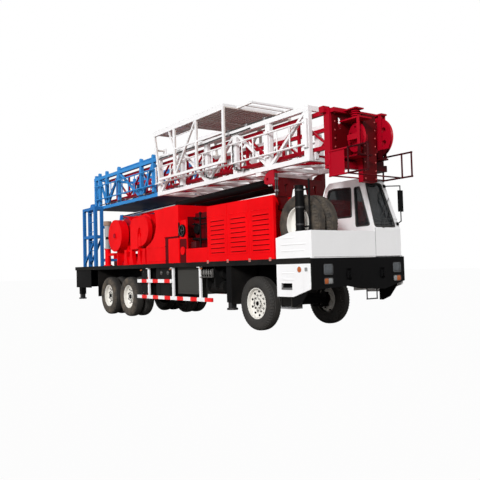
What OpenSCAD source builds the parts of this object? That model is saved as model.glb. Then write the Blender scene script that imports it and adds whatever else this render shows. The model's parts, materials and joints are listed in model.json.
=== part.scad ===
// Workover rig: a three-axle self-propelled carrier with a two-section folding mast.
// X points forward and is measured from the middle of the rear tandem, Y points to the
// vehicle's left and Z up from the ground. in_place() then puts the origin in the middle
// of the whole rig. All lengths are in millimetres.

/* [Overall] */
// Width over the deck, bumper and body
body_w = 2500; // [2440:10:2560]
// Height of the deck above the ground
deck_z = 1460; // [1440:5:1480]
// Thickness of the deck with its side channel
deck_t = 110; // [90:5:120]
// Distance from the middle of the rear tandem back to the tail
rear_overhang = 3290; // [3200:10:3400]
// Distance from the front axle forward to the bumper's face
front_overhang = 1934; // [1900:2:1960]

/* [Axles and wheels] */
// Distance from the middle of the tandem to the front axle
wheelbase = 6660; // [6600:10:6750]
// Distance between the two rear axles
tandem_gap = 1386; // [1340:2:1420]
// Outer diameter of a tyre
tyre_d = 1120; // [1080:5:1140]
// Width of a tyre
tyre_w = 290; // [270:5:300]
// Diameter of a rim's seat in its tyre
rim_d = 650; // [600:5:680]
// Distance from the body's side in to the middle of a front tyre
front_tyre_inset = 280; // [260:5:300]
// Distance from the body's side in to the middle of an outer rear tyre
rear_tyre_inset = 195; // [190:5:210]
// Distance between the middles of twin tyres
twin_gap = 320; // [315:1:330]
// Distance from the middle of a front tyre in to its steering pivot
king_offset = 170; // [160:5:180]
// Diameter of a wheel's hub bore
hub_d = 150; // [130:5:170]
// Diameter of a steering pivot pin
king_d = 60; // [50:2:70]

/* [Chassis] */
// Distance from the middle line to the middle of a frame rail
rail_y = 420; // [400:5:425]
// Height of a frame rail
rail_h = 330; // [300:5:340]
// Width of a frame rail's flanges
rail_flange = 90; // [70:5:95]
// Height of the bumper's lower edge
bumper_z = 880; // [860:5:920]
// Depth of the bumper from front to back
bumper_depth = 230; // [180:5:260]

/* [Cab and nose] */
// Height of the nose's top edge
nose_z = 1955; // [1900:5:2000]
// Length of the nose behind the bumper's face
nose_len = 1024; // [1000:2:1040]
// Thickness of the nose's panels
panel_t = 30; // [20:2:40]
// Thickness of the cab's walls and door
cab_wall = 50; // [40:2:60]
// Height of the cab's roof
cab_roof_z = 3040; // [3000:5:3060]
// Distance from the middle line to the cab's inner side
cab_inner_y = 420; // [400:5:440]
// Distance from the body's side in to the cab's outer side
cab_inset = 80; // [60:5:100]
// Distance from the bumper's face back to the cab's rear wall
cab_len = 1420; // [1400:5:1440]
// Gap around the door
door_gap = 6; // [5:0.5:8]

/* [Machinery] */
// Height of the louvred engine housing
housing_h = 1250; // [1200:5:1280]
// Length of the engine housing
housing_len = 2420; // [2400:5:2440]
// Height of the drum's axis
drum_z = 2340; // [2320:5:2360]
// Position of the drum's axis
drum_x = -100; // [-130:5:-70]
// Diameter of the drum's barrel
drum_d = 460; // [400:10:520]
// Diameter of the drum's flanges
flange_d = 1060; // [1000:10:1080]
// Diameter of the drum's shaft
shaft_d = 120; // [100:5:140]

/* [Mast] */
// Height of the mast's pivot
pivot_z = 3400; // [3380:5:3420]
// Position of the mast's pivot
pivot_x = -2300; // [-2330:5:-2270]
// Diameter of the mast's pivot pins
pivot_d = 90; // [80:2:110]
// Height of the lower mast's underside
mast_z = 3335; // [3330:1:3345]
// Height of the lower mast's own frame
mast_h = 1085; // [1060:5:1100]
// Width of the lower mast
mast_w = 1500; // [1460:10:1520]
// Position of the lower mast's rear end
mast_rear_x = -2750; // [-2780:5:-2700]
// Distance from the bumper's face back to the lower mast's front end
mast_setback = 534; // [500:2:560]
// Side of the lower mast's corner tubes
chord = 100; // [90:2:110]
// Width of the upper mast
upper_w = 1140; // [1100:10:1160]
// Height of the upper mast
upper_h = 760; // [740:5:780]
// Side of the upper mast's corner tubes
upper_chord = 80; // [70:2:90]
// Distance from the middle line to a raising ram
ram_y = 330; // [320:5:345]
// Outer diameter of a raising ram's barrel
ram_d = 200; // [180:5:210]
// Diameter of a raising ram's rod
ram_rod_d = 130; // [110:5:140]

/* [Hidden] */

$fn = 48;
eps = 0.01;
half_w = body_w / 2;
nose_x = wheelbase + front_overhang;
tail_x = -rear_overhang;
mast_front_x = nose_x - mast_setback;
upper_x1 = mast_front_x + 390;
crown_front_x = upper_x1 + 1100;
mid_x = (crown_front_x + tail_x) / 2;
tyre_r = tyre_d / 2;
front_tyre_y = half_w - front_tyre_inset;
rear_tyre_y = half_w - rear_tyre_inset;
king_y = front_tyre_y - king_offset;
cab_outer_y = half_w - cab_inset;
deck_under = deck_z - deck_t;
rail_top = deck_under;
rail_z = rail_top - rail_h;
fit_gap = 0.3;
run_gap = 6;
// Clearance on the diameter of a running bearing
bearing_gap = 0.15;
floor_t = 12;

// Colours of the finishes
red = [0.80, 0.02, 0.03];
white = [0.93, 0.94, 0.95];
blue = [0.13, 0.42, 0.72];
black = [0.05, 0.05, 0.06];
rubber = [0.09, 0.09, 0.09];
rim_white = [0.85, 0.84, 0.80];
steel = [0.45, 0.46, 0.48];
glass = [0.15, 0.18, 0.20, 0.6];

// Moves a piece from the tandem's middle to the middle of the rig
module in_place(paint) {
    color(paint) translate([-mid_x, 0, 0]) children();
}

// A box given by its lowest and highest corners
module block(low, high) {
    translate(low) cube(high - low);
}

// The same piece on both sides of the middle line
module both_sides() {
    children();
    mirror([0, 1, 0]) children();
}

// A round bar or hole along Y, centred
module y_round(d, length) {
    rotate([90, 0, 0]) cylinder(d = d, h = length, center = true);
}

// A plate with an outline in X and Z, from y1 to y2
module side_plate(outline, y1, y2) {
    translate([0, y2, 0]) rotate([90, 0, 0]) linear_extrude(y2 - y1) polygon(outline);
}

// A plate with an outline in Y and Z, from x1 to x2
module cross_plate(outline, x1, x2) {
    translate([x1, 0, 0]) rotate([90, 0, 90]) linear_extrude(x2 - x1) polygon(outline);
}

// A square tube between two points
module bar(a, b, t) {
    d = b - a;
    translate(a) rotate([0, -atan2(d[2], norm([d[0], d[1]])), atan2(d[1], d[0])])
        translate([0, -t / 2, -t / 2]) cube([norm(d), t, t]);
}

// A round tube between two points
module rod(a, b, t) {
    d = b - a;
    translate(a) rotate([0, 90 - atan2(d[2], norm([d[0], d[1]])), atan2(d[1], d[0])])
        cylinder(d = t, h = norm(d), $fn = 16);
}

// A corner of an outline moved inwards by w, for an outline that runs anticlockwise
function inner_corner(a, b, c, w) =
    let (u = (b - a) / norm(b - a), v = (c - b) / norm(c - b),
        nu = [-u[1], u[0]], nv = [-v[1], v[0]])
    b + w * (nu + nv) / (1 + nu * nv);
function inset(outline, w) =
    let (n = len(outline))
    [for (i = [0:n - 1])
        inner_corner(outline[(i + n - 1) % n], outline[i], outline[(i + 1) % n], w)];

// Chassis

// Positions of the frame's cross members
cross_xs = [tail_x + 200, -1900, -1350, 0, 1350, 2600, 3900, 5300, wheelbase + 700, nose_x - 500];
cross_t = 120;
rail_web = 12;
jack_housing = 170;
jack_front_x = wheelbase - 810;
jack_rear_x = tail_x + 330;
jack_y = half_w - 130;
jack_leg = 130;
jack_bore = jack_leg + 0.9;
jack_travel = 380;

module frame_rail() {
    x0 = tail_x + 20 + fit_gap;
    x1 = nose_x - bumper_depth;
    block([x0, rail_y - rail_web / 2, rail_z], [x1, rail_y + rail_web / 2, rail_top]);
    for (z = [rail_z, rail_top - 16])
        block([x0, rail_y - rail_flange / 2, z], [x1, rail_y + rail_flange / 2, z + 16]);
}

module jack_housing_at(x) {
    translate([x, jack_y, 0]) difference() {
        block([-jack_housing / 2, -jack_housing / 2, 560],
            [jack_housing / 2, jack_housing / 2, deck_under]);
        block([-jack_bore / 2, -jack_bore / 2, 500], [jack_bore / 2, jack_bore / 2, deck_under - 20]);
    }
    block([x - 60, rail_y, rail_z + 40], [x + 60, jack_y - jack_bore / 2 - 4, rail_top - 60]);
}

module chassis_frame() {
    in_place(black) {
        both_sides() {
            frame_rail();
            jack_housing_at(jack_front_x);
            jack_housing_at(jack_rear_x);
        }
        for (x = cross_xs)
            block([x - cross_t / 2, rail_web / 2 + fit_gap - rail_y, rail_z + 40],
                [x + cross_t / 2, rail_y - rail_web / 2 - fit_gap, rail_top - 40]);
        block([tail_x, -half_w + 40, 780], [tail_x + 20, half_w - 40, deck_under]);
        both_sides() block([tail_x, half_w - 60, 780], [-2000, half_w - 40, deck_under]);
        tow_hook();
    }
}

// Hook under the tail plate
module tow_hook() {
    difference() {
        block([tail_x, -90, 640], [tail_x + 120, 90, 800]);
        translate([tail_x + 60, 0, 715]) rotate([90, 0, 0]) cylinder(d = 70, h = 400, center = true);
    }
}

// Deck

deck_front_x = nose_x - nose_len;
edge_t = 14;

module deck() {
    in_place(black) {
        block([tail_x, -half_w, deck_z - 12], [deck_front_x, half_w, deck_z]);
        both_sides() {
            block([tail_x, half_w - 14, deck_under], [deck_front_x, half_w, deck_z - 12]);
            block([tail_x, rail_y - rail_flange / 2, deck_under],
                [deck_front_x, rail_y + rail_flange / 2, deck_z - 12]);
            mud_flap(-tandem_gap / 2 - tyre_r - 120);
            mud_flap(wheelbase - tyre_r - 130);
        }
        for (x = cross_xs)
            if (x < deck_front_x)
                block([x - 40, -half_w, deck_under], [x + 40, half_w, deck_z - 12]);
        both_sides() block([deck_front_x - 1, half_w - edge_t, deck_under],
            [nose_x - bumper_t - 2, half_w, deck_z - fit_gap]);
    }
}

// Sheet that hangs behind a wheel
module mud_flap(x) {
    block([x - 12, rail_y + 120, 520], [x, half_w - 30, deck_z - floor_t]);
}

// Tanks and boxes under the deck

tank_y1 = 560;
tank_y2 = half_w - 90;

fuel_x0 = 2400;
fuel_x1 = jack_front_x - 2550;
locker_x0 = jack_front_x - 2400;
locker_x1 = jack_front_x - 1300;
air_x0 = jack_front_x - 1200;
air_len = 640;

module under_deck_tanks() {
    in_place(black) both_sides() {
        for (x = [1640, 1900, fuel_x0 + 60, fuel_x1 - 110, locker_x0 + 60, locker_x1 - 110, air_x0 + 60,
            air_x0 + air_len - 110])
            block([x, rail_y + rail_web / 2 + fit_gap, rail_z + 30], [x + 50, tank_y1 + 200, rail_z + 110]);
        block([1560, tank_y1, 660], [2000, tank_y2, deck_under]);
        block([fuel_x0, tank_y1, 620], [fuel_x1, tank_y2, deck_under]);
        for (x = [fuel_x0 + 160, fuel_x1 - 220])
            block([x, tank_y1 - 8, 612], [x + 60, tank_y2 + 8, deck_under]);
        block([locker_x0, tank_y1, 700], [locker_x1, tank_y2 - 60, deck_under]);
        block([locker_x0 + 50, tank_y2 - 61, 760], [locker_x1 - 50, tank_y2 - 45, 1290]);
        for (z = [880, 1180])
            translate([air_x0, (tank_y1 + tank_y2) / 2, z]) rotate([0, 90, 0]) cylinder(d = 260,
                h = air_len);
        for (x = [air_x0 + 120, air_x0 + 460])
            block([x, tank_y1 + 60, 870], [x + 50, tank_y2 - 60, deck_under]);
    }
}

// Side guards

guard_bar = 90;
guard_t = 45;
guard_post_t = 40;
guard_low_z = 550;
guard_high_z = 970;
guard_front_x = wheelbase - 1440;

module side_guards() {
    y = half_w - guard_t;
    in_place(white) both_sides() {
        block([1440, y, guard_low_z], [guard_front_x, half_w, guard_low_z + guard_bar]);
        block([1460, y, guard_high_z], [3370, half_w, guard_high_z + guard_bar]);
        for (x = [2040, 3370, guard_front_x - 560]) {
            block([x - 40, y - guard_post_t, guard_low_z + 20], [x + 40, y, deck_under - fit_gap]);
            block([x - 60, y - guard_post_t, deck_under - 16], [x + 60, half_w - 2, deck_under - fit_gap]);
        }
    }
}

// Axles

axle_d = 130;
rear_axle_xs = [-tandem_gap / 2, tandem_gap / 2];
king_h = 300;
spindle_d = 90;
front_hub_y = 880;
rear_hub_y = 640;

module axles() {
    in_place(black) {
        for (x = rear_axle_xs) translate([x, 0, tyre_r]) {
            y_round(axle_d, 2 * (rear_tyre_y + 60));
            y_round(230, 2 * 480);
            sphere(d = 480);
        }
        both_sides() {
            block([-tandem_gap / 2 - 60, rail_y - 40, tyre_r + 90],
                [tandem_gap / 2 + 60, rail_y + 40, tyre_r + 210]);
            block([-90, rail_y - 50, tyre_r + 200], [90, rail_y + 50, rail_z]);
            block([wheelbase - 450, rail_y - 35, tyre_r + 70],
                [wheelbase + 450, rail_y + 35, tyre_r + 150]);
            for (x = [wheelbase - 430, wheelbase + 390])
                block([x, rail_y - 35, tyre_r + 140], [x + 40, rail_y + 35, rail_z]);
        }
        translate([wheelbase, 0, tyre_r]) difference() {
            union() {
                block([-60, -king_y + 80, -90], [60, king_y - 80, 80]);
                both_sides() translate([0, king_y, 0]) cylinder(d = 2 * king_d, h = king_h / 2,
                    center = true);
                both_sides() block([-55, king_y - 90, -60], [55, king_y, 60]);
            }
            both_sides() translate([0, king_y, 0]) cylinder(d = king_d + bearing_gap, h = king_h,
                center = true);
        }
    }
}

// Steering knuckle on the left; the right one mirrors it
module knuckle() {
    upright_y = king_d + 6;
    hub_y = front_tyre_y - king_y + rim_half - front_dish - hub_back - run_gap;
    low = -king_h / 2 - 20;
    high = king_h / 2;
    translate([wheelbase, king_y, tyre_r]) {
        cylinder(d = king_d, h = king_h, center = true);
        for (z = [low, high - 60]) {
            translate([0, 0, z]) cylinder(d = 2 * king_d, h = 60);
            block([-50, 0, z], [50, hub_y, z + 60]);
        }
        block([-50, upright_y, low], [50, hub_y, high]);
        translate([0, upright_y, 0]) rotate([-90, 0, 0])
            cylinder(d = spindle_d, h = hub_y - upright_y + hub_back + hub_front + run_gap + 10);
        block([-330, -30, low], [0, 30, low + 40]);
    }
}

module knuckle_left() {
    in_place(black) knuckle();
}

module knuckle_right() {
    in_place(black) mirror([0, 1, 0]) knuckle();
}

// Wheels

shoulder = 55;
rim_half = tyre_w / 2 - 38;
front_dish = 90;
outer_dish = 120;
inner_dish = 60;
disc_t = 16;
// Length of a hub behind and in front of its disc
hub_back = 70;
hub_front = 60;

// Ring of rubber around a wheel's rim, its axis along Y
module tyre() {
    r = tyre_r;
    w = tyre_w / 2;
    s = rim_d / 2;
    rotate([90, 0, 0]) rotate_extrude($fn = 64) polygon([[s, -w + 40], [s + 60, -w + 10],
        [(r + s) / 2, -w], [r - shoulder - 20, -w + 12], [r - 18, -w + 32], [r, -w + shoulder],
        [r, w - shoulder], [r - 18, w - 32], [r - shoulder - 20, w - 12], [(r + s) / 2, w],
        [s + 60, w - 10], [s, w - 40]]);
}

// Rim with a dished disc; the dish opens towards +Y and its depth is given
module rim(dish, bore) {
    s = rim_d / 2 - fit_gap;
    w = rim_half;
    d = w - dish;
    slope = w - dish * 0.7;
    rotate([-90, 0, 0]) rotate_extrude($fn = 64) polygon([[s - 22, -w], [s, -w], [s, w],
        [s - 22, w], [s - 40, slope], [220, d], [bore / 2 + 50, d],
        [bore / 2 + 40, d + hub_front], [bore / 2, d + hub_front], [bore / 2, d - hub_back],
        [bore / 2 + 50, d - hub_back], [bore / 2 + 60, d - disc_t], [210, d - disc_t],
        [s - 54, slope - 10]]);
}

// Ring of wheel nuts on a disc
module wheel_nuts(y) {
    for (i = [0:9])
        rotate([0, 36 * i, 0]) translate([170, y, 0]) rotate([-90, 0, 0]) cylinder(d = 34, h = 30,
            $fn = 16);
}

module front_rim() {
    rim(front_dish, spindle_d + bearing_gap);
    wheel_nuts(rim_half - front_dish - 1);
}

module rear_rims() {
    low = -twin_gap - rim_half + inner_dish + disc_t / 2;
    high = rim_half - outer_dish - disc_t / 2;
    translate([0, -twin_gap, 0]) mirror([0, 1, 0]) rim(inner_dish, axle_d + bearing_gap);
    rim(outer_dish, axle_d + bearing_gap);
    wheel_nuts(rim_half - outer_dish - 1);
    translate([0, low, 0]) rotate([-90, 0, 0]) difference() {
        cylinder(d = 420, h = high - low);
        translate([0, 0, -1]) cylinder(d = 380, h = high - low + 2);
    }
}

module at_front(side) {
    translate([wheelbase, side * front_tyre_y, tyre_r]) mirror([0, side < 0 ? 1 : 0, 0]) children();
}

module at_rear(i, side) {
    translate([rear_axle_xs[i], side * rear_tyre_y, tyre_r]) mirror([0, side < 0 ? 1 : 0, 0]) children();
}

module twin_tyres() {
    tyre();
    translate([0, -twin_gap, 0]) tyre();
}

module tyre_front_left() { in_place(rubber) at_front(1) tyre(); }
module rim_front_left() { in_place(rim_white) at_front(1) front_rim(); }
module tyre_front_right() { in_place(rubber) at_front(-1) tyre(); }
module rim_front_right() { in_place(rim_white) at_front(-1) front_rim(); }
module tyres_rear_1_left() { in_place(rubber) at_rear(1, 1) twin_tyres(); }
module rims_rear_1_left() { in_place(rim_white) at_rear(1, 1) rear_rims(); }
module tyres_rear_1_right() { in_place(rubber) at_rear(1, -1) twin_tyres(); }
module rims_rear_1_right() { in_place(rim_white) at_rear(1, -1) rear_rims(); }
module tyres_rear_2_left() { in_place(rubber) at_rear(0, 1) twin_tyres(); }
module rims_rear_2_left() { in_place(rim_white) at_rear(0, 1) rear_rims(); }
module tyres_rear_2_right() { in_place(rubber) at_rear(0, -1) twin_tyres(); }
module rims_rear_2_right() { in_place(rim_white) at_rear(0, -1) rear_rims(); }

// Bumper

bumper_top = deck_z - floor_t - fit_gap;

bumper_t = 45;

module bumper() {
    outline = [[-half_w, bumper_z - 10], [-350, bumper_z + 35], [-40, bumper_z - 25], [650, bumper_z - 60],
        [half_w, bumper_z + 85], [half_w, bumper_top], [-half_w, bumper_top]];
    core_y = half_w - panel_t - 20;
    in_place(black) {
        difference() {
            union() {
                cross_plate(outline, nose_x - bumper_t, nose_x);
                block([nose_x - bumper_depth, -core_y, bumper_z + 120],
                    [nose_x - bumper_t + 1, core_y, bumper_top - 10]);
            }
            for (y = tow_ys)
                block([nose_x - 40, y - 70, tow_z - 110], [nose_x + 5, y + 70, tow_z + 110]);
        }
        for (y = tow_ys) tow_plate(y);
        for (y = tow_ys)
            block([nose_x - bumper_depth - 60, y - 50, 1100], [nose_x - bumper_depth + 1, y + 50, 1240]);
        both_sides() bumper_skirt();
        stirrup();
    }
}

tow_ys = [-330, 590];
tow_z = 1130;

// Tow eye in a pocket of the bumper
module tow_plate(y) {
    for (dy = [-35, 35])
        difference() {
            block([nose_x - 41, y + dy - 9, tow_z - 60], [nose_x + 30, y + dy + 9, tow_z + 60]);
            translate([nose_x + 2, y + dy, tow_z]) y_round(34, 40);
        }
    translate([nose_x + 2, y, tow_z]) y_round(33.4, 100);
}

// Sheet under the nose, from the step to the bumper
module bumper_skirt() {
    x1 = nose_x - bumper_depth;
    side_plate([[deck_front_x + 400, 560], [deck_front_x + 480, 560], [x1 - 120, 640], [x1 + 60, 860],
        [x1 + 60, 1100], [x1 - 40, 1100], [x1 - 40, 900], [deck_front_x + 400, 800]],
        half_w - panel_t - 40, half_w - panel_t - 10);
}

// Step ring that hangs under the bumper
module stirrup() {
    x = nose_x - 40;
    for (y = [180, 460])
        rod([x, y, 640], [x, y, bumper_z], 24);
    rod([x, 168, 640], [x, 472, 640], 24);
}

// Nose: side panels, front panel and floor

nose_low_z = 720;

module front_body() {
    in_place(white) {
        nose_side(deck_z);
        mirror([0, 1, 0]) {
            nose_side(nose_z);
            step();
        }
        block([nose_x - panel_t, -half_w, deck_z - floor_t], [nose_x, cab_inner_y - 2, nose_z]);
        block([deck_front_x, -half_w + panel_t, deck_z - floor_t],
            [nose_x - panel_t, half_w - panel_t, deck_z]);
        block([deck_front_x, -half_w + panel_t, deck_z], [deck_front_x + 20, -1100, nose_z - 100]);
        for (y = spare_ys)
            block([spare_x - 160, y - 90, deck_z - 1], [spare_x + 160, y + 90, deck_z + spare_lift]);
    }
}

// Side panel with its step opening, from the deck's end to the bumper
module nose_side(top) {
    x0 = deck_front_x;
    x1 = nose_x - bumper_t - fit_gap;
    difference() {
        union() {
            side_plate([[x0, nose_low_z], [x0 + 465, nose_low_z + 12], [x1, nose_low_z + 170],
                [x1, deck_under - fit_gap], [x0, deck_under - fit_gap]], half_w - panel_t, half_w);
            side_plate([[x0 + 1, deck_under - 40], [x1, deck_under - 40], [x1, deck_z + 1],
                [x0 + 1, deck_z + 1]],
                half_w - panel_t, half_w - edge_t - fit_gap);
            block([x1 - 1, half_w - panel_t, deck_z - floor_t], [nose_x, half_w, deck_z]);
            if (top > deck_z) nose_wall(top);
        }
        block([x0 + 125, half_w - panel_t - 5, 865], [x0 + 455, half_w + 5, 990]);
        for (z = [1110, 1200])
            block([x0 + 110, half_w - 4, z], [x0 + 860, half_w + 5, z + 14]);
    }
    block([x0 + 115, half_w - panel_t, 790], [x0 + 465, half_w - 2, 864]);
    block([x0, half_w - 420, nose_low_z + 40], [x0 + 20, half_w - panel_t, deck_z - floor_t]);
}

// Step that hangs under the side panel
module step() {
    x0 = deck_front_x;
    block([x0 + 60, half_w - 300, 500], [x0 + 385, half_w - 40, 530]);
    for (x = [x0 + 60, x0 + 365])
        block([x, half_w - 300, 529], [x + 20, half_w - panel_t - 10, nose_low_z + 60]);
    block([x0 + 50, half_w - 300, nose_low_z + 40], [x0 + 395, half_w - panel_t + 1, nose_low_z + 90]);
}

// Upper side wall of the nose with two pressed panels
module nose_wall(top) {
    x0 = deck_front_x;
    difference() {
        side_plate([[x0, deck_z], [nose_x, deck_z], [nose_x, top], [x0 + 470, top], [x0, top - 100]],
            half_w - panel_t, half_w);
        for (panel = [[x0 + 110, x0 + 440], [x0 + 520, x0 + 860]]) for (z = [deck_z + 90, deck_z + 240])
            block([panel[0], half_w - 4, z], [panel[1], half_w + 5, z + 14]);
    }
}

// Cab

cab_x = nose_x - cab_len;
cab_low = deck_z + fit_gap;
cab_profile = [[cab_x, cab_low], [nose_x, cab_low], [nose_x, nose_z + 40],
    [nose_x - 230, cab_roof_z - 90], [nose_x - 310, cab_roof_z], [cab_x + 190, cab_roof_z],
    [cab_x + 70, cab_roof_z - 90], [cab_x, cab_roof_z - 290]];
window_low = 2080;
window_top = cab_roof_z - 130;
door_x0 = cab_x + 260;
door_x1 = nose_x - 330;
door_low = deck_z + cab_wall + 30;
door_top = cab_roof_z - 90;
rear_window = [[cab_x + 110, 2290], [cab_x + 800, 2285], [cab_x + 805, 2875], [cab_x + 300, 2905],
    [cab_x + 160, 2880], [cab_x + 110, 2720]];
quarter_window = [[cab_x + 930, 2080], [nose_x - 135, 2087], [nose_x - 373, 2870], [cab_x + 913, 2865]];
door_window = [[door_x0 + 100, window_low + 40], [door_x1 - 90, window_low + 40],
    [door_x1 - 90, window_top - 30],
    [door_x0 + 180, window_top - 30], [door_x0 + 100, window_top - 160]];

// The cab's far wall leans in above its waist
waist_z = 2010;
cab_lean = 190;
function lean_y(z) = cab_outer_y - cab_lean * max(0, z - waist_z) / (cab_roof_z - waist_z);

// All that stands outside the far wall, moved in by w
module beyond_wall(w) {
    top = cab_roof_z + 20;
    cross_plate([[cab_outer_y - w, waist_z], [cab_outer_y + 40, waist_z], [cab_outer_y + 40, top],
        [lean_y(top) - w, top]], cab_x - 20, nose_x + 20);
}

// All that stands inside the far wall's inner face
module within_wall() {
    top = cab_roof_z + 20;
    cross_plate([[cab_inner_y - 20, cab_low - 20], [cab_outer_y - cab_wall, cab_low - 20],
        [cab_outer_y - cab_wall, waist_z], [lean_y(top) - cab_wall, top], [cab_inner_y - 20, top]],
        cab_x - 20, nose_x + 20);
}

// Windscreen opening, cut square to the sloping front
module screen_cut(margin, depth, from) {
    a = [nose_x, nose_z + 40];
    b = [nose_x - 230, cab_roof_z - 90];
    slope = atan2(b[1] - a[1], b[0] - a[0]);
    length = norm(b - a);
    low = margin + 60;
    high = length - margin - 20;
    translate([a[0], 0, a[1]]) rotate([0, -slope, 0]) translate([0, 0, from]) linear_extrude(depth)
        polygon([[low, cab_inner_y + 25 + margin], [high, cab_inner_y + 25 + margin],
            [high, lean_y(b[1]) - 125 - margin], [low, cab_outer_y - 150 - margin]]);
}

module cab_shell() {
    in_place(white) {
        difference() {
            side_plate(cab_profile, cab_inner_y, cab_inner_y + cab_wall);
            side_plate(rear_window, cab_inner_y - 5, cab_inner_y + cab_wall + 5);
            side_plate(quarter_window, cab_inner_y - 5, cab_inner_y + cab_wall + 5);
            screen_cut(0, 160, -80);
        }
        difference() {
            side_plate(cab_profile, cab_inner_y + cab_wall + fit_gap, cab_outer_y - cab_wall - fit_gap);
            side_plate(inset(cab_profile, cab_wall), cab_inner_y, cab_outer_y);
            beyond_wall(cab_wall + fit_gap);
            screen_cut(0, 160, -80);
            block([cab_x - 5, cab_inner_y + 150, window_low + 120],
                [cab_x + 60, cab_outer_y - 190, cab_roof_z - 400]);
        }
        difference() {
            side_plate(cab_profile, cab_outer_y - cab_wall - cab_lean - 20, cab_outer_y);
            beyond_wall(0);
            within_wall();
            side_plate([[door_x0, door_low], [door_x1, door_low], [door_x1, door_top], [door_x0, door_top]],
                cab_outer_y - cab_wall - cab_lean - 30, cab_outer_y + 5);
        }
        for (z = hinge_zs) for (dz = [-hinge_h / 2 - 1 - hinge_ear, hinge_h / 2 + 1])
            translate([0, 0, z + dz]) difference() {
                union() {
                    translate(door_axis) cylinder(d = hinge_d, h = hinge_ear);
                    translate([door_x1, cab_outer_y - 1]) cube([30, door_axis[1] - cab_outer_y + 5,
                        hinge_ear]);
                }
                translate([door_axis[0], door_axis[1], -1]) cylinder(d = hinge_pin + bearing_gap,
                    h = hinge_ear + 2);
            }
    }
}

// Door hinges: axis, barrel and pin
hinge_d = 24;
hinge_pin = 10;
hinge_h = 50;
hinge_ear = 22;
hinge_zs = [1630, 1930];
door_axis = [door_x1 - door_gap / 2, cab_outer_y + 14];

module cab_door() {
    x0 = door_x0 + door_gap;
    x1 = door_x1 - door_gap;
    z0 = door_low + door_gap;
    z1 = door_top - door_gap;
    in_place(white) {
        difference() {
            side_plate([[x0, z0], [x1, z0], [x1, z1], [x0, z1]], cab_outer_y - cab_wall - cab_lean,
                cab_outer_y);
            beyond_wall(0);
            within_wall();
            side_plate(door_window, cab_outer_y - cab_wall - cab_lean - 5, cab_outer_y + 5);
        }
        for (z = hinge_zs) translate([0, 0, z - hinge_h / 2]) {
            translate(door_axis) cylinder(d = hinge_d, h = hinge_h);
            translate([x1 - 60, cab_outer_y - 1]) cube([60, door_axis[1] - cab_outer_y + 1, hinge_h]);
            translate([door_axis[0], door_axis[1], -1 - hinge_ear]) cylinder(d = hinge_pin,
                h = hinge_h + 2 + 2 * hinge_ear);
        }
    }
}

glass_t = 6;

module cab_glass() {
    in_place(glass) {
        side_plate(inset(rear_window, fit_gap), cab_inner_y + 20, cab_inner_y + 20 + glass_t);
        side_plate(inset(quarter_window, fit_gap), cab_inner_y + 20, cab_inner_y + 20 + glass_t);
        screen_cut(fit_gap, glass_t, 20);
        block([cab_x + 20, cab_inner_y + 150 + fit_gap, window_low + 120 + fit_gap],
            [cab_x + 20 + glass_t, cab_outer_y - 190 - fit_gap, cab_roof_z - 400 - fit_gap]);
    }
}

module cab_interior() {
    floor_z = cab_low + cab_wall + fit_gap;
    seat_x = cab_x + 230;
    seat_y = (cab_inner_y + cab_outer_y) / 2 - 30;
    in_place(black) {
        translate([seat_x, seat_y, floor_z]) {
            block([60, -130, 0], [380, 130, 300]);
            block([0, -240, 290], [480, 240, 420]);
            block([0, -230, 410], [130, 230, 1000]);
        }
        block([nose_x - 330, cab_inner_y + cab_wall + 2, floor_z], [nose_x - cab_wall - 6,
            cab_outer_y - cab_wall - 2, floor_z + 460]);
        translate([nose_x - 560, seat_y, floor_z + 640]) rotate([0, -30, 0]) {
            rotate_extrude() translate([200, 0]) circle(d = 26, $fn = 16);
            for (a = [0, 120, 240]) rotate([0, 0, a]) translate([0, -12, -8]) cube([200, 24, 16]);
            translate([0, 0, -490]) cylinder(d = 50, h = 490);
        }
    }
}

// Where the windscreen's plane stands at a height
function screen_x(z) = nose_x - 230 * (z - nose_z - 40) / (cab_roof_z - 90 - nose_z - 40);

// Mirror on a looped arm in front of the windscreen's left edge
module wing_mirror() {
    x = nose_x + 60;
    arm_d = 22;
    arm_y = cab_outer_y - 60;
    in_place(black) {
        block([x, arm_y - 60, 2350], [x + 40, arm_y + 60, 2780]);
        rod([x + 20, arm_y, 2770], [x + 20, arm_y, 2880], arm_d);
        rod([x + 20, arm_y, 2360], [x + 20, arm_y, 2150], arm_d);
        for (end = [[2872, 2890], [2158, 2110]]) {
            z = end[1];
            foot_y = lean_y(z + 30) - 40;
            rod([x + 20, arm_y, end[0]], [screen_x(z) + 15, foot_y, z], arm_d);
            side_plate([[screen_x(z - 30) + fit_gap, z - 30], [screen_x(z - 30) + 30, z - 30],
                [screen_x(z + 30) + 30, z + 30], [screen_x(z + 30) + fit_gap, z + 30]], foot_y - 25,
                    foot_y + 25);
        }
    }
}

module lamps() {
    in_place(white) for (y = [-865, 1015]) {
        block([nose_x, y - 110, 1140], [nose_x + 12, y + 110, 1330]);
        block([nose_x, y - 105, 970], [nose_x + 12, y + 105, 1075]);
    }
}

// Machinery on the deck

engine_low = deck_z + 60;
housing_front = deck_front_x - 50;
housing_x = housing_front - housing_len;
engine_x = housing_front - 2020;

module engine() {
    in_place(steel) {
        block([engine_x, -430, engine_low], [engine_x + 1350, 430, deck_z + 1050]);
        for (x = [engine_x + 100, engine_x + 1100])
            both_sides() block([x, 340, deck_z], [x + 120, 430, engine_low]);
    }
}

housing_wall = 30;
housing_front_inner = housing_front - 240;
housing_top = deck_z + housing_h;
housing_cab_x = cab_x - 60;

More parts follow.
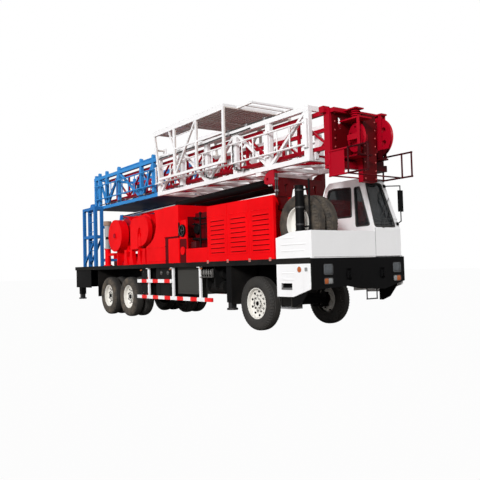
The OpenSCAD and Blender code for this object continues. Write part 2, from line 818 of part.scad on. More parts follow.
module engine_housing() {
    plan = [[housing_x, -half_w], [housing_front, -half_w], [housing_front, -half_w + 60],
        [housing_front_inner, -half_w + 60], [housing_front_inner, cab_inner_y - 60],
        [housing_cab_x, cab_inner_y - 60], [housing_cab_x, half_w], [housing_x, half_w]];
    inner_top = housing_top - housing_wall;
    in_place(red) difference() {
        translate([0, 0, deck_z]) linear_extrude(housing_h) polygon(plan);
        block([housing_x + housing_wall, -half_w + housing_wall + 40, deck_z - 5],
            [housing_cab_x - housing_wall, half_w - housing_wall - 40, inner_top]);
        block([housing_cab_x - housing_wall - 5, -half_w + housing_wall + 60, deck_z - 5],
            [housing_front_inner - housing_wall, cab_inner_y - 60 - housing_wall, inner_top]);
        for (i = [0:2]) louvre_panel(housing_x + 90 + i * 790, 600);
        for (i = [1:2]) both_sides()
            block([housing_x + i * 790 + 8, half_w - 6, deck_z + 40],
                [housing_x + i * 790 + 20, half_w + 5, housing_top - 40]);
    }
}

// Column of slots in both side walls
module louvre_panel(x, w) {
    for (z = [deck_z + 180:100:deck_z + 880])
        both_sides() block([x + 40, half_w - 25, z], [x + w, half_w + 5, z + 28]);
}

module power_boxes() {
    far = half_w - 40;
    in_place(red) {
        side_plate([[1960, deck_z], [3180, deck_z], [3180, 2100], [3000, 2100], [3000, 2860], [2440, 2860],
            [2520, 2700], [2550, 2500], [2500, 2300], [2380, 2130], [2200, 2010], [1960, 1920]], -far, far);
        block([3000, -far - 20, 2120], [3760, far + 20, 2880]);
        block([3190, -far, deck_z], [3720, far, 2120]);
        block([4070, -far, deck_z], [housing_x - 70, far, 1790]);
        both_sides() {
            block([3720, far - 60, deck_z], [4072, far - 20, 2500]);
            block([4070, far - 300, 1789], [housing_x - 70, far - 280, 2650]);
            translate([3900, far - 20, 2240]) y_round(300, 60);
            translate([3900, far - 20, 1750]) y_round(200, 50);
        }
        both_sides() for (z = [deck_z + 60, 1880])
            block([2020, far - 1, z], [3120, far + 12, z + 24]);
    }
}

// Drawworks

drum_side = half_w - 350;

// One end frame of the drawworks
module end_frame() {
    difference() {
        side_plate([[-350, deck_z], [400, deck_z], [400, 1750], [drum_x + 250, drum_z - 150],
            [drum_x + 150, drum_z + 120], [drum_x - 150, drum_z + 120], [drum_x - 230, drum_z - 150],
            [-350, 1750]], drum_side - 40, drum_side + 40);
        translate([drum_x, drum_side, drum_z]) y_round(shaft_d + bearing_gap, 200);
    }
}

module drawworks() {
    in_place(red) {
        both_sides() end_frame();
        block([-350, -drum_side, deck_z], [600, drum_side, deck_z + 90]);
        translate([drum_x, 0, drum_z]) {
            both_sides() drum_guard();
            drum_hood();
        }
        both_sides() brake_cover();
        both_sides() pedestals();
        both_sides() jack_post();
        sand_reel();
    }
}

hood_r = 590;

// Curved sheet over the front of the drum, with a rib
module drum_hood() {
    difference() {
        union() {
            y_round(2 * hood_r, 2 * (drum_side - 30));
            for (y = [-500, 0, 500])
                translate([0, y, 0]) y_round(2 * hood_r + 40, 50);
        }
        y_round(2 * hood_r - 30, 2 * drum_side);
        block([-hood_r - 30, -drum_side - 5, -hood_r - 30], [-120, drum_side + 5, hood_r + 30]);
        block([-hood_r - 30, -drum_side - 5, -hood_r - 30], [hood_r + 30, drum_side + 5, -250]);
    }
    both_sides() block([-120, drum_side - 50, 120], [hood_r - 60, drum_side - 30, 300]);
}

reel_x = 1330;
reel_z = 2370;

// Closed hood of the second drum on its base
module sand_reel() {
    translate([reel_x, 0, reel_z]) y_round(1020, 2 * (half_w - 330));
    for (y = [-half_w + 340, half_w - 420])
        block([980, y, deck_z], [1680, y + 80, reel_z]);
    block([1100, -half_w + 400, deck_z], [1560, half_w - 400, 2100]);
}

// Cover of the brake bands: a straight leaf and a round one with a notch between them
module brake_cover() {
    y1 = half_w - 190;
    y2 = half_w - 60;
    difference() {
        union() {
            block([930, y1, 1890], [1400, y2, 2600]);
            translate([1200, (y1 + y2) / 2, 2500]) y_round(540, y2 - y1);
            translate([1640, (y1 + y2) / 2, 2390]) y_round(820, y2 - y1);
            block([1200, y1, 2500], [1640, y2, 2770]);
            block([1430, y1, 1960], [1590, y2, 2400]);
        }
        side_plate([[1395, 1800], [1435, 1800], [1435, 2180], [1510, 2330], [1585, 2180], [1585, 1800],
            [1625, 1800], [1625, 2300], [1560, 2470], [1460, 2470], [1395, 2300]], y1 + 50, y2 + 5);
    }
    translate([reel_x, half_w - 260, reel_z]) y_round(400, 160);
}

// Cast feet between the deck and the covers
module pedestals() {
    for (x = [330, 700, 1200, 1500])
        side_plate([[x, deck_z], [x + 260, deck_z], [x + 200, 1700], [x + 200, 1900], [x + 60, 1900],
            [x + 60, 1700]], half_w - 240, half_w - 120);
    block([330, half_w - 270, 1840], [1700, half_w - 170, 1900]);
    block([330, half_w - 440, deck_z], [620, half_w - 180, deck_z + 240]);
}

post_x = -860;
post_y = half_w - 150;

// Column with a round body and a cap at the drum's rear
module jack_post() {
    translate([post_x, post_y, deck_z]) {
        cylinder(d = 260, h = 30);
        cylinder(d = 180, h = 520);
        translate([0, 0, 500]) cylinder(d = 220, h = 50);
        translate([0, 0, 540]) cylinder(d = 150, h = 340);
        translate([0, 0, 870]) cylinder(d = 120, h = 30);
        translate([0, 0, 890]) cylinder(d = 190, h = 360);
        translate([0, 0, 1240]) cylinder(d = 230, h = 130);
    }
    block([post_x, post_y - 40, deck_z + 300], [-340, post_y + 40, deck_z + 380]);
    block([-360, drum_side - 40, deck_z + 200], [-330, post_y + 40, deck_z + 380]);
}

// Round end guard outside a bearing
module drum_guard() {
    translate([0, drum_side + 180, 0]) {
        difference() {
            y_round(940, 240);
            translate([0, -30, 0]) y_round(880, 240);
            y_round(150, 400);
        }
        difference() {
            translate([0, 110, 0]) y_round(230, 40);
            y_round(150, 400);
        }
    }
    translate([-30, drum_side + 30, -drum_z + deck_z]) cube([60, 200, 600]);
}

module drum() {
    in_place(steel) translate([drum_x, 0, drum_z]) {
        y_round(shaft_d, 2 * (drum_side + 330));
        y_round(drum_d, 2 * (drum_side - 90));
        both_sides() translate([0, drum_side - 100, 0]) y_round(flange_d, 50);
    }
}

// Exhaust stack and spare wheels on the nose

module exhaust() {
    x = deck_front_x + 634;
    muffler_low = nose_z - deck_z + run_gap;
    in_place(black) {
        translate([x, -half_w + 86, deck_z]) {
            translate([0, 0, muffler_low]) cylinder(d = 170, h = 850);
            cylinder(d = 80, h = muffler_low + 5);
            cylinder(d = 100, h = 16);
            translate([259, 10, 0]) cylinder(d = 40, h = 1445, $fn = 24);
            for (z = [560, 1250])
                translate([60, 0, z]) cube([190, 20, 30]);
        }
    }
}

spare_x = nose_x - 614;
spare_lift = 95;
spare_z = deck_z + spare_lift + tyre_r + fit_gap;
spare_ys = [325 - half_w, 645 - half_w];

module spare_tyres() {
    in_place(rubber) for (y = spare_ys)
        translate([spare_x, y, spare_z]) tyre();
}

module spare_rims() {
    in_place(rim_white) for (y = spare_ys)
        translate([spare_x, y, spare_z]) mirror([0, 1, 0]) rim(110, hub_d);
}

// Supports of the mast

head_top = mast_z - run_gap;
support_x0 = housing_front_inner - 500;
support_x1 = support_x0 + 140;
support_y = 730;
support_beam_z = 3045;

module mast_support() {
    leg_top = support_beam_z + 1;
    in_place(red) {
        both_sides() {
            block([support_x0, support_y - 95, support_beam_z], [support_x1, support_y, head_top]);
            support_hook();
        }
        block([support_x0 + 20, 90 - support_y, support_beam_z],
            [support_x1, support_y - 90, support_beam_z + 135]);
        for (side = [-1, 1]) {
            cross_plate([[side * support_y, leg_top], [side * 450, leg_top], [side * 420, 2800],
                [side * 420, housing_top], [side * 590, housing_top]], support_x0 + 60, support_x1);
            cross_plate([[side * 360, leg_top], [side * 190, leg_top], [side * 270, housing_top],
                [side * 422, housing_top], [side * 422, 2800]], support_x0 + 60, support_x1);
        }
        block([support_x0 - 40, -1000, housing_top], [support_x1 + 60, 640, housing_top + 24]);
        block([support_x1 + 50, -1000, housing_top], [housing_front_inner + 90, -720, housing_top + 24]);
        cross_plate([[-970, housing_top + 1], [-730, housing_top + 1], [-730, 2430], [-850, 2430]],
            housing_front_inner + fit_gap, housing_front_inner + 70);
        block([housing_front_inner + fit_gap, -935, 2450], [housing_front_inner + 110, -845, 2540]);
    }
}

// Hook behind a post that guides the raised ram's hoses and the mast's side
module support_hook() {
    difference() {
        side_plate([[support_x0 + 5, support_beam_z + 10], [support_x0 - 90, support_beam_z - 5],
            [support_x0 - 190, support_beam_z + 30], [support_x0 - 205, support_beam_z + 120],
            [support_x0 - 140, support_beam_z + 230], [support_x0 + 5, head_top - 4]], support_y - 90,
                support_y - 5);
        translate([support_x0 - 90, support_y - 50, support_beam_z + 105]) y_round(76, 200);
    }
}

// Rear frame that carries the mast's pivot, with a ladder

frame_y1 = 960;
frame_tube = 90;

module rear_frame() {
    y0 = frame_y1 + frame_tube / 2;
    y1 = half_w - frame_tube / 2;
    in_place(blue) {
        both_sides() {
            for (y = [y0, y1]) {
                bar([-2500, y, deck_z], [-2500, y, 3300], frame_tube);
                bar([-1550, y, deck_z], [-1550, y, 3300], frame_tube);
                bar([-2545, y, 3300], [-1505, y, 3300], frame_tube);
                bar([-2545, y, 2400], [-1505, y, 2400], frame_tube);
                bar([-2500, y, deck_z + 70], [-1550, y, 2370], 56);
            }
            for (x = [-2500, -1550]) for (z = [2400, 3300])
                bar([x, y0, z], [x, y1, z], frame_tube);
            pivot_ear();
            for (z = [deck_z + 200:300:3200])
                rod([-2080, half_w - 19, z], [-1620, half_w - 19, z], 26);
            for (x = [-2080, -1620])
                block([x - 15, half_w - 34, deck_z], [x + 15, half_w - 4, 3300]);
        }
        for (z = [1650, 2700])
            block([-1550 - frame_tube / 2, fit_gap - frame_y1, z - frame_tube / 2],
                [-1550 + frame_tube / 2, frame_y1 - fit_gap, z + frame_tube / 2]);
        ram_feet();
    }
}

// Ears that hold the rams' eyes, with the heads of their pins
module ram_feet() {
    both_sides() for (side = [-1, 1]) {
        y = ram_y + side * 82;
        side_plate([[-1590, 2660], [-1510, 2660], [ram_eye_x + 90, ram_eye_z - 60],
            [ram_eye_x + 90, ram_eye_z + 80],
            [ram_eye_x - 80, ram_eye_z + 80]], y - 10, y + 10);
        translate([ram_eye_x, ram_y + side * 102, ram_eye_z]) y_round(ram_pin_d + 30, 24);
    }
}

// Ear with the mast's pivot pin
module pivot_ear() {
    difference() {
        side_plate([[-2545, 3300], [-2055, 3300], [-2200, 3500], [-2400, 3500]], frame_y1, frame_y1 + 60);
        translate([pivot_x, frame_y1, pivot_z]) y_round(pivot_d + bearing_gap, 300);
    }
}

// Lower mast

mast_top = mast_z + mast_h;
mast_y = mast_w / 2 - chord / 2;
colour_x = 1800;
low_z = mast_z + chord / 2;
high_z = mast_top - chord / 2;

// Stations of the side panels, from the rear end to the front end
function stations(a, b, n) = [for (i = [0:n]) a + (b - a) * i / n];

// Half width of the floor frame between the side frames
core_y = mast_w / 2 - chord - fit_gap;

// One side of the lower mast between two positions: corner tubes, box posts and braces
module mast_side(a, b, posts, post_w) {
    for (z = [low_z, high_z])
        block([a, mast_y - chord / 2, z - chord / 2], [b, mast_y + chord / 2, z + chord / 2]);
    for (x = posts)
        block([x - post_w / 2, mast_y - 44, low_z], [x + post_w / 2, mast_y + 44, high_z]);
    for (i = [0:len(posts) - 2])
        bar([posts[i], mast_y, i % 2 == 0 ? low_z : high_z],
            [posts[i + 1], mast_y, i % 2 == 0 ? high_z : low_z], 60);
}

// Side ladder rails with rungs, outside the corner tubes
module mast_rail(a, b) {
    y = mast_w / 2 + 60;
    for (z = [3660, 4100])
        rod([a, y, z], [b, y, z], 42);
    n = round((b - a) / 420);
    for (x = stations(a + 40, b - 40, n))
        rod([x, y, 3660], [x, y, 4100], 30);
    for (x = stations(a + 100, b - 100, 4))
        block([x - 25, mast_y, 3646], [x + 25, y, 3674]);
}

rear_posts = [-2690, -2350, -1770, -830, 730, 1500];
ear_xs = [-2350, -1770, -830, 730, 1500];
ear_z = 4490;

module mast_lower_rear() {
    y_pin = frame_y1 + 60;
    in_place(blue) {
        both_sides() {
            mast_side(mast_rear_x, colour_x, rear_posts, 120);
            mast_rail(mast_rear_x + 200, colour_x);
            translate([pivot_x, (mast_y + y_pin) / 2, pivot_z]) y_round(pivot_d, y_pin - mast_y);
            for (x = ear_xs) {
                block([x - 60, mast_y - 40, high_z], [x + 60, mast_y + 40, ear_z]);
                translate([x, mast_y, ear_z]) y_round(120, 80);
            }
            rod([-830, mast_y, ear_z - 30], [1500, mast_y, ear_z - 30], 48);
            block([-2700, mast_y - 42, high_z], [-2600, mast_y + 42, high_z + 130]);
        }
        for (x = [-2690, -1770, -830, -50, 730, 1500])
            block([x - 38, -core_y, low_z - 40], [x + 38, core_y, low_z + 40]);
        block([mast_rear_x + 10, -core_y, low_z - 46], [colour_x, core_y, low_z - 36]);
        block([mast_rear_x, -core_y, high_z - 38], [mast_rear_x + 80, core_y, high_z + 38]);
    }
}

front_post_w = 150;
front_posts = stations(colour_x + 80, mast_front_x - 76, 5);

module mast_lower_front() {
    n = len(front_posts) - 1;
    in_place(white) {
        both_sides() {
            mast_side(colour_x + eps, mast_front_x, front_posts, front_post_w);
            mast_rail(colour_x + eps, mast_front_x - 60);
            for (x = [front_posts[4], front_posts[5]])
                block([x - 65, mast_y + 40, 3600], [x + 65, mast_w / 2 + 50, 4160]);
        }
        board_hinge();
        for (x = front_posts)
            block([x - 38, -core_y, low_z - 38], [x + 38, core_y, low_z + 38]);
        for (i = [0:n - 1])
            bar([front_posts[i], 50 - core_y, low_z], [front_posts[i + 1], core_y - 50, low_z], 50);
        for (x = [front_posts[0], front_posts[3], front_posts[5]]) both_sides()
            block([x - 60, upper_y - 39, low_z], [x + 60, upper_y + 39, upper_z - slide_gap]);
        ram_brackets();
        block([mast_front_x - 80, -core_y, mast_top - 98], [mast_front_x - 2, core_y, mast_top - 2]);
    }
}

// Racking board, folded over the lower mast

board_x = 2100;
board_len = 3400;
board_y = 1010;
board_z = 5000;
board_pin_x = board_x + 80;
board_pin_z = 4520;
board_pin_d = 50;

module board_hinge() {
    both_sides() difference() {
        side_plate([[board_pin_x - 80, mast_top - 60], [board_pin_x + 80, mast_top - 60],
            [board_pin_x + 60, board_pin_z + 60], [board_pin_x - 60, board_pin_z + 60]], mast_y - 20,
                mast_y + 20);
        translate([board_pin_x, mast_y, board_pin_z]) y_round(board_pin_d + bearing_gap, 100);
    }
}

board_t = 60;
board_low_z = 3680;
// Length of the two fingers at the board's rear, beside its slot
finger_len = 1300;
finger_y = 420;

module racking_board() {
    front = board_x + board_len;
    in_place(white) {
        both_sides() board_side();
        difference() {
            block([board_x, -board_y, board_z], [front, board_y, board_z + 24]);
            block([board_x - 5, -finger_y, board_z - 5], [board_x + finger_len, finger_y, board_z + 30]);
        }
        for (x = [board_x + finger_len, board_x + finger_len + 680, front - board_t])
            block([x, -board_y + 2, board_z - board_t - 2], [x + board_t, board_y - 2, board_z]);
        both_sides() {
            for (x = [board_x + 2, board_x + 640])
                block([x, finger_y, board_z - board_t + 2], [x + board_t, board_y - 2, board_z]);
            block([board_x + 2, finger_y, board_z - board_t + 4],
                [board_x + finger_len + 10, finger_y + 40, board_z]);
        }
        board_walkway();
    }
}

// One side of the board's cage
module board_side() {
    y = board_y - board_t / 2;
    front = board_x + board_len;
    block([board_x, board_y - board_t, board_z - 110], [front, board_y, board_z]);
    block([board_x + 240, board_y - board_t + 2, board_low_z], [front, board_y - 2, board_low_z + board_t]);
    bar([board_x + 30, y, board_z - 60], [board_x + 280, y, board_low_z + 30], 54);
    for (post = [[1060, 90], [2150, 62], [3330, 68]])
        block([board_x + post[0], board_y - board_t + 4, board_low_z + 10],
            [board_x + post[0] + post[1], board_y - 4, board_z - 50]);
    bar([board_x + 2170, y, board_z - 70], [board_x + 1140, y, board_low_z + 40], 46);
    bar([board_x + 820, y, board_z - 70], [board_x + 1080, y, board_z - 620], 42);
    block([board_x + 1100, board_y - 46, 4360], [front - 20, board_y - 14, 4400]);
    rod([board_x + 850, y, 4700], [board_x + 2180, y, 4700], 26);
    translate([board_pin_x, (mast_y + board_y) / 2 - 20, board_pin_z]) y_round(board_pin_d,
        board_y - mast_y + 20);
    block([board_x + 10, board_y - board_t + 6, board_pin_z - 60],
        [board_x + 150, board_y - 6, board_pin_z + 60]);
}

// Narrow walkway frame in front of the board
module board_walkway() {
    a = board_x + board_len;
    for (y = [-600, 560])
        block([a - 60, y, board_z - 40], [a + 560, y + 40, board_z]);
    for (x = [a + 240, a + 520])
        block([x, -600, board_z - 40], [x + 40, 600, board_z]);
}

// Upper mast and crown

slide_gap = 0.6;
upper_x0 = -2300;
upper_z = mast_z + 190;
upper_y = upper_w / 2 - upper_chord / 2;
upper_core = upper_w / 2 - upper_chord - fit_gap;

module mast_upper() {
    n = 12;
    zs = [upper_z + upper_chord / 2, upper_z + upper_h - upper_chord / 2];
    xs = stations(upper_x0 + 40, upper_x1 - 40, n);
    in_place(red) {
        both_sides() {
            for (z = zs)
                block([upper_x0, upper_y - upper_chord / 2, z - upper_chord / 2],
                    [upper_x1, upper_y + upper_chord / 2, z + upper_chord / 2]);
            for (i = [0:n - 1]) {
                block([xs[i] - 27, upper_y - 27, zs[0]], [xs[i] + 27, upper_y + 27, zs[1]]);
                bar([xs[i], upper_y, zs[i % 2]], [xs[i + 1], upper_y, zs[1 - i % 2]], 42);
            }
        }
        for (i = [0:n - 1]) {
            block([xs[i] - 22, -upper_core, zs[0] - 22], [xs[i] + 22, upper_core, zs[0] + 22]);
            if (i < n - 1)
                bar([xs[i], 30 - upper_core, zs[0]], [xs[i + 1], upper_core - 30, zs[0]], 34);
        }
    }
}

crown_post_x = upper_x1;
crown_x0 = upper_x1 + 148;
crown_x1 = upper_x1 + 270;
crown_z0 = 3120;
crown_z1 = 4230;
column_x = upper_x1 + 450;
column_y0 = -150;
column_y1 = 200;
sheave_shaft_d = 90;
main_sheave = [upper_x1 - 120, 25, 3850];
far_sheave = [upper_x1 + 285, 400, 3745];
fast_sheave = [upper_x1 + 460, -330, 3660];
fast_turn = -15;

module crown_block() {
    in_place(red) {
        both_sides() {
            block([crown_post_x + fit_gap, upper_y - 44, crown_z0],
                [crown_post_x + 150, 720, crown_z1 + 20]);
            block([crown_post_x - 40, 640, crown_z1 - 60], [crown_post_x + 90, 800, crown_z1 + 60]);
        }
        for (z = [[crown_z0, crown_z0 + 120], [crown_z1 - 70, crown_z1 + 10]])
            block([crown_x0, -700, z[0]], [crown_x1 - 6, 700, z[1]]);
        crown_plate();
        crown_column();
        main_sheaves();
        far_yoke();
        fast_yoke();
        guide_roller();
        crown_rails();
    }
}

// Plate across the crown's near part, with two long holes
module crown_plate() {
    difference() {
        cross_plate([[-640, crown_z0 + 10], [-640, crown_z1], [330, crown_z1], [330, crown_z0 + 10]],
            crown_x0, crown_x0 + 26);
        for (slot = [[-500, 3930, 4020, 140], [-570, 3640, 3730, 44]]) {
            block([crown_x0 - 5, slot[0] - slot[3] / 2, slot[1]],
                [crown_x0 + 40, slot[0] + slot[3] / 2, slot[2]]);
            for (z = [slot[1], slot[2]])
                translate([crown_x0 - 5, slot[0], z]) rotate([0, 90, 0]) cylinder(d = slot[3], h = 45);
        }
    }
}

// Folded column in front of the crown
module crown_column() {
    block([column_x - 26, column_y0, 2860], [column_x, column_y1, crown_z1 - 90]);
    for (y = [column_y0, column_y1 - 20]) {
        block([crown_x0 + 25, y, crown_z0 + 20], [column_x - 25, y + 20, crown_z1 - 90]);
        block([column_x - 150, y, 2860], [column_x - 25, y + 20, crown_z0 + 21]);
    }
    block([column_x - 150, column_y0, 2860], [column_x - 25, column_y1, 2880]);
}

// Three sheaves between cheeks behind the plate
module main_sheaves() {
    for (y = [-130, 160])
        difference() {
            block([main_sheave[0] - 80, y, 3700], [crown_x0 + 1, y + 20, 4060]);
            translate([main_sheave[0], y + 10, main_sheave[2]]) y_round(sheave_shaft_d + 2 * fit_gap, 60);
        }
    translate(main_sheave) {
        y_round(sheave_shaft_d, 350);
        for (y = [-90, 0, 90])
            translate([0, y, 0]) sheave(520);
    }
}

// Large sheave on the far side with the yoke round it
module far_yoke() {
    x = far_sheave[0];
    for (y = [335, 455])
        block([x + 120, y, 3320], [x + 185, y + 12, 4190]);
    block([crown_x0 + 60, 320, 3300], [x + 210, 482, 3332]);
    block([crown_x0 + 60, 320, 3230], [crown_x0 + 110, 482, 3310]);
    block([crown_x0 + 60, 320, 4164], [x + 210, 482, 4196]);
    for (arm = [[crown_x0 + 25, 300], [crown_post_x + 110, 478]])
        difference() {
            block([arm[0], arm[1], far_sheave[2] - 62], [x + 70, arm[1] + 20, far_sheave[2] + 62]);
            translate([x, arm[1] + 10, far_sheave[2]]) y_round(sheave_shaft_d + 2 * fit_gap, 60);
        }
    block([crown_post_x + 110, 478, far_sheave[2] - 62], [crown_x0 + 1, 540, far_sheave[2] + 62]);
    translate(far_sheave) {
        y_round(sheave_shaft_d, 210);
        sheave(790);
    }
}

// Sheave of the fast line, turned towards the drum, with the strap in front of it
module fast_yoke() {
    x = fast_sheave[0];
    y = fast_sheave[1];
    for (z = [3300, 3992])
        block([crown_x0 + 25, y - 150, z], [x + 215, column_y0 + 1, z + 28]);
    block([x + 150, y - 150, 3327], [x + 215, y - 138, 3993]);
    block([x - 95, y - 150, fast_sheave[2] - 52], [x + 151, y - 84, fast_sheave[2] + 52]);
    block([x - 50, column_y0 - 62, fast_sheave[2] - 60], [x + 100, column_y0 + 1, fast_sheave[2] + 60]);
    translate(fast_sheave) rotate([0, 0, fast_turn]) {
        translate([0, 25, 0]) y_round(sheave_shaft_d, 260);
        sheave(530);
    }
}

// Upright roller with grooves that guides the fast line
module guide_roller() {
    translate([fast_sheave[0] - 10, fast_sheave[1], 4019]) {
        cylinder(d = 60, h = 172);
        for (i = [0:3])
            translate([0, 0, 8 + i * 40]) cylinder(d1 = 190, d2 = 140, h = 30);
    }
    block([crown_x0 + 25, fast_sheave[1] - 110, 4190], [fast_sheave[0] + 100, fast_sheave[1] + 110, 4214]);
}

// Grooved wheel with lightening holes
module sheave(d) {
    bore = sheave_shaft_d + 2 * fit_gap;
    difference() {
        rotate([90, 0, 0]) rotate_extrude() polygon([[bore / 2, -33], [d / 2, -33], [d / 2 - 40, 0],
            [d / 2, 33], [bore / 2, 33]]);
        for (i = [0:5])
            rotate([0, 60 * i + 30, 0]) translate([d / 4 + 50, 0, 0]) y_round(d / 7, 100);
    }
}

// Guard rails in front of the crown; the near one has a sheet behind its rear half
module crown_rails() {
    rail_side(-1, crown_front_x);
    rail_side(1, crown_front_x - 240);
    block([upper_x1 + 110, -727, 2950], [upper_x1 + 510, -719, 3430]);
    for (x = [upper_x1 + 190, upper_x1 + 590])
        rod([x, -728, 2960], [x, 728, 2960], 28);
}

// Rail on one side up to a front end
module rail_side(side, front) {
    t = 34;
    y = side * 730;
    for (z = [2960, 3420])
        rod([upper_x1 + 120, y, z], [front, y, z], t);
    for (x = [upper_x1 + 120 + t / 2, upper_x1 + 610, front - t / 2])
        rod([x, y, 2943], [x, y, 3437], t);
    block([crown_post_x + 60, side > 0 ? 690 : -745, 3180],
        [crown_post_x + 150, side > 0 ? 745 : -690, 3260]);
}

// Raising rams

ram_pin_x = mast_front_x - 1660;
ram_pin_z = 3150;
ram_eye_x = -1350;
ram_eye_z = 3010;
ram_pin_d = 70;
ram_angle = atan2(ram_pin_z - ram_eye_z, ram_pin_x - ram_eye_x);
ram_len = norm([ram_pin_x - ram_eye_x, ram_pin_z - ram_eye_z]);
barrel_len = 4200;

// Beam under the lower mast with the ears that hold the rams
module ram_brackets() {
    both_sides() for (y = [ram_y - 75, ram_y + 55])
        difference() {
            block([ram_pin_x - 90, y, ram_pin_z - 80], [ram_pin_x + 90, y + 20, mast_z - 70]);
            translate([ram_pin_x, y + 10, ram_pin_z]) y_round(ram_pin_d + bearing_gap, 60);
        }
    block([ram_pin_x - 88, 10 - mast_w / 2, mast_z - 78],
        [ram_pin_x + 88, mast_w / 2 - 10, mast_z - fit_gap]);
}

module ram_barrels() {
    in_place(black) both_sides() translate([ram_pin_x, ram_y, ram_pin_z]) rotate([0, -ram_angle, 0]) {
        y_round(ram_pin_d, 160);
        y_round(150, 90);
        translate([-200, 0, 0]) rotate([0, 90, 0]) cylinder(d = 96, h = 200);
        translate([-barrel_len, 0, 0]) rotate([0, 90, 0]) difference() {
            cylinder(d = ram_d, h = barrel_len - 150);
            translate([0, 0, -1]) cylinder(d = ram_rod_d + bearing_gap, h = barrel_len - 400);
        }
    }
}

module ram_rods() {
    in_place(steel) both_sides() translate([ram_pin_x, ram_y, ram_pin_z]) rotate([0, -ram_angle, 0])
        translate([-ram_len, 0, 0]) {
            y_round(150, 90);
            rotate([0, 90, 0]) cylinder(d = ram_rod_d, h = ram_len - 600);
        }
}

// Jack legs

module jack(x, side) {
    in_place(steel) translate([x, side * jack_y, 0]) {
        block([-jack_leg / 2, -jack_leg / 2, 430], [jack_leg / 2, jack_leg / 2, deck_under - 60]);
        translate([0, 0, 400]) cylinder(d = 240, h = 40);
    }
}

module jack_front_left() { jack(jack_front_x, 1); }
module jack_front_right() { jack(jack_front_x, -1); }
module jack_rear_left() { jack(jack_rear_x, 1); }
module jack_rear_right() { jack(jack_rear_x, -1); }

chassis_frame();
deck();
under_deck_tanks();
side_guards();
axles();
knuckle_left();
knuckle_right();
tyre_front_left();
rim_front_left();
tyre_front_right();
rim_front_right();
tyres_rear_1_left();
rims_rear_1_left();
tyres_rear_1_right();
rims_rear_1_right();
tyres_rear_2_left();
rims_rear_2_left();
tyres_rear_2_right();
rims_rear_2_right();
bumper();
front_body();
cab_shell();
cab_door();
cab_glass();
cab_interior();
wing_mirror();
lamps();
engine();
engine_housing();
power_boxes();
drawworks();
drum();
exhaust();
spare_tyres();
spare_rims();
mast_support();
rear_frame();
mast_lower_rear();
mast_lower_front();
racking_board();
mast_upper();
crown_block();
ram_barrels();
ram_rods();
jack_front_left();
jack_front_right();
jack_rear_left();
jack_rear_right();
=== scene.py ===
"""Looks for the truck-mounted workover rig: studio, finishes, and the pieces that its frame leaves plain."""

import json
import logging
import math
from dataclasses import dataclass, field, replace
from enum import Enum
from typing import Iterable, Optional, Sequence

import bpy
import numpy as np
from mathutils import Matrix, Vector

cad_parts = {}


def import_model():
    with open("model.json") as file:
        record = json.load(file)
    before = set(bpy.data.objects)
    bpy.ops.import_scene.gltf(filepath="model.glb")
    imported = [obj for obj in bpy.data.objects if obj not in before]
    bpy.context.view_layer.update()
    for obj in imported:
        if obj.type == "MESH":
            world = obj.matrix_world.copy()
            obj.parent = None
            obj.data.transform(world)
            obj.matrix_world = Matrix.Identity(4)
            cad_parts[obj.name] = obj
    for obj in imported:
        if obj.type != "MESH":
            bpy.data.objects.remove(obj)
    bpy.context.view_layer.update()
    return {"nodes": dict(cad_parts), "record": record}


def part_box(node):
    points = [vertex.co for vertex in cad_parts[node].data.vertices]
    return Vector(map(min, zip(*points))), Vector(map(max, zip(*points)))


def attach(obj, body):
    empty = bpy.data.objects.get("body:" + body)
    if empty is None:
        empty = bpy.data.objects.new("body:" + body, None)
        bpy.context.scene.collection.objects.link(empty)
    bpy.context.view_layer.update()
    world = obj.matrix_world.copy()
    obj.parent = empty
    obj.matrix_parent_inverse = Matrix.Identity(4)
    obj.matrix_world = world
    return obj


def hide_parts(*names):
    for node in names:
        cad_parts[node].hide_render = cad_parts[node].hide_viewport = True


log = logging.getLogger("rig")

Point = tuple[float, float, float]
Colour = tuple[float, float, float]
Triple = tuple[float, float, float]
Pair = tuple[float, float]
Range = tuple[float, float]
Socket = bpy.types.NodeSocket

MOST_BEVEL = 0.9  # share of a half size that a bevel may take
CORNER_SHARE = 0.6  # a box's upright edges are cut by this share of its bevel
STEEP = 0.9  # a path that starts with more rise than this starts its section along X
HANDS = ("left", "right")
PLAIN_WHITE = (1.0, 1.0, 1.0, 1.0)


class Side(Enum):
    """Side of the rig, as the sign of Y. The photograph shows the near one."""

    NEAR = -1
    FAR = 1


class Turn(Enum):
    """Axis that a round form is turned about, as two cross axes and the axis."""

    X = (1, 2, 0)
    Y = (2, 0, 1)
    Z = (0, 1, 2)


@dataclass(frozen=True)
class Place:
    """Origin of the rig's own measures: the middle of the rear tandem, on the ground."""

    x: float

    def at(self, x: float, y: float, z: float) -> Vector:
        """A point given from the middle of the rear tandem, in the row frame."""
        return Vector((x + self.x, y, z))

    def zone(self, x: Range, y: Range, z: Range, colour: Colour) -> "Zone":
        """A coloured stretch, given from the middle of the rear tandem by its range along each axis."""
        return Zone((x[0] + self.x, y[0], z[0]), (x[1] + self.x, y[1], z[1]), colour)


def tandem_place() -> Place:
    """Finds the middle of the rear tandem from the tyres of the frame.

    Returns:
        The place that the rig's own measures start from.
    """
    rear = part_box("tyres_rear_1_left")
    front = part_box("tyres_rear_2_left")
    return Place((min(rear[0].x, front[0].x) + max(rear[1].x, front[1].x)) / 2)


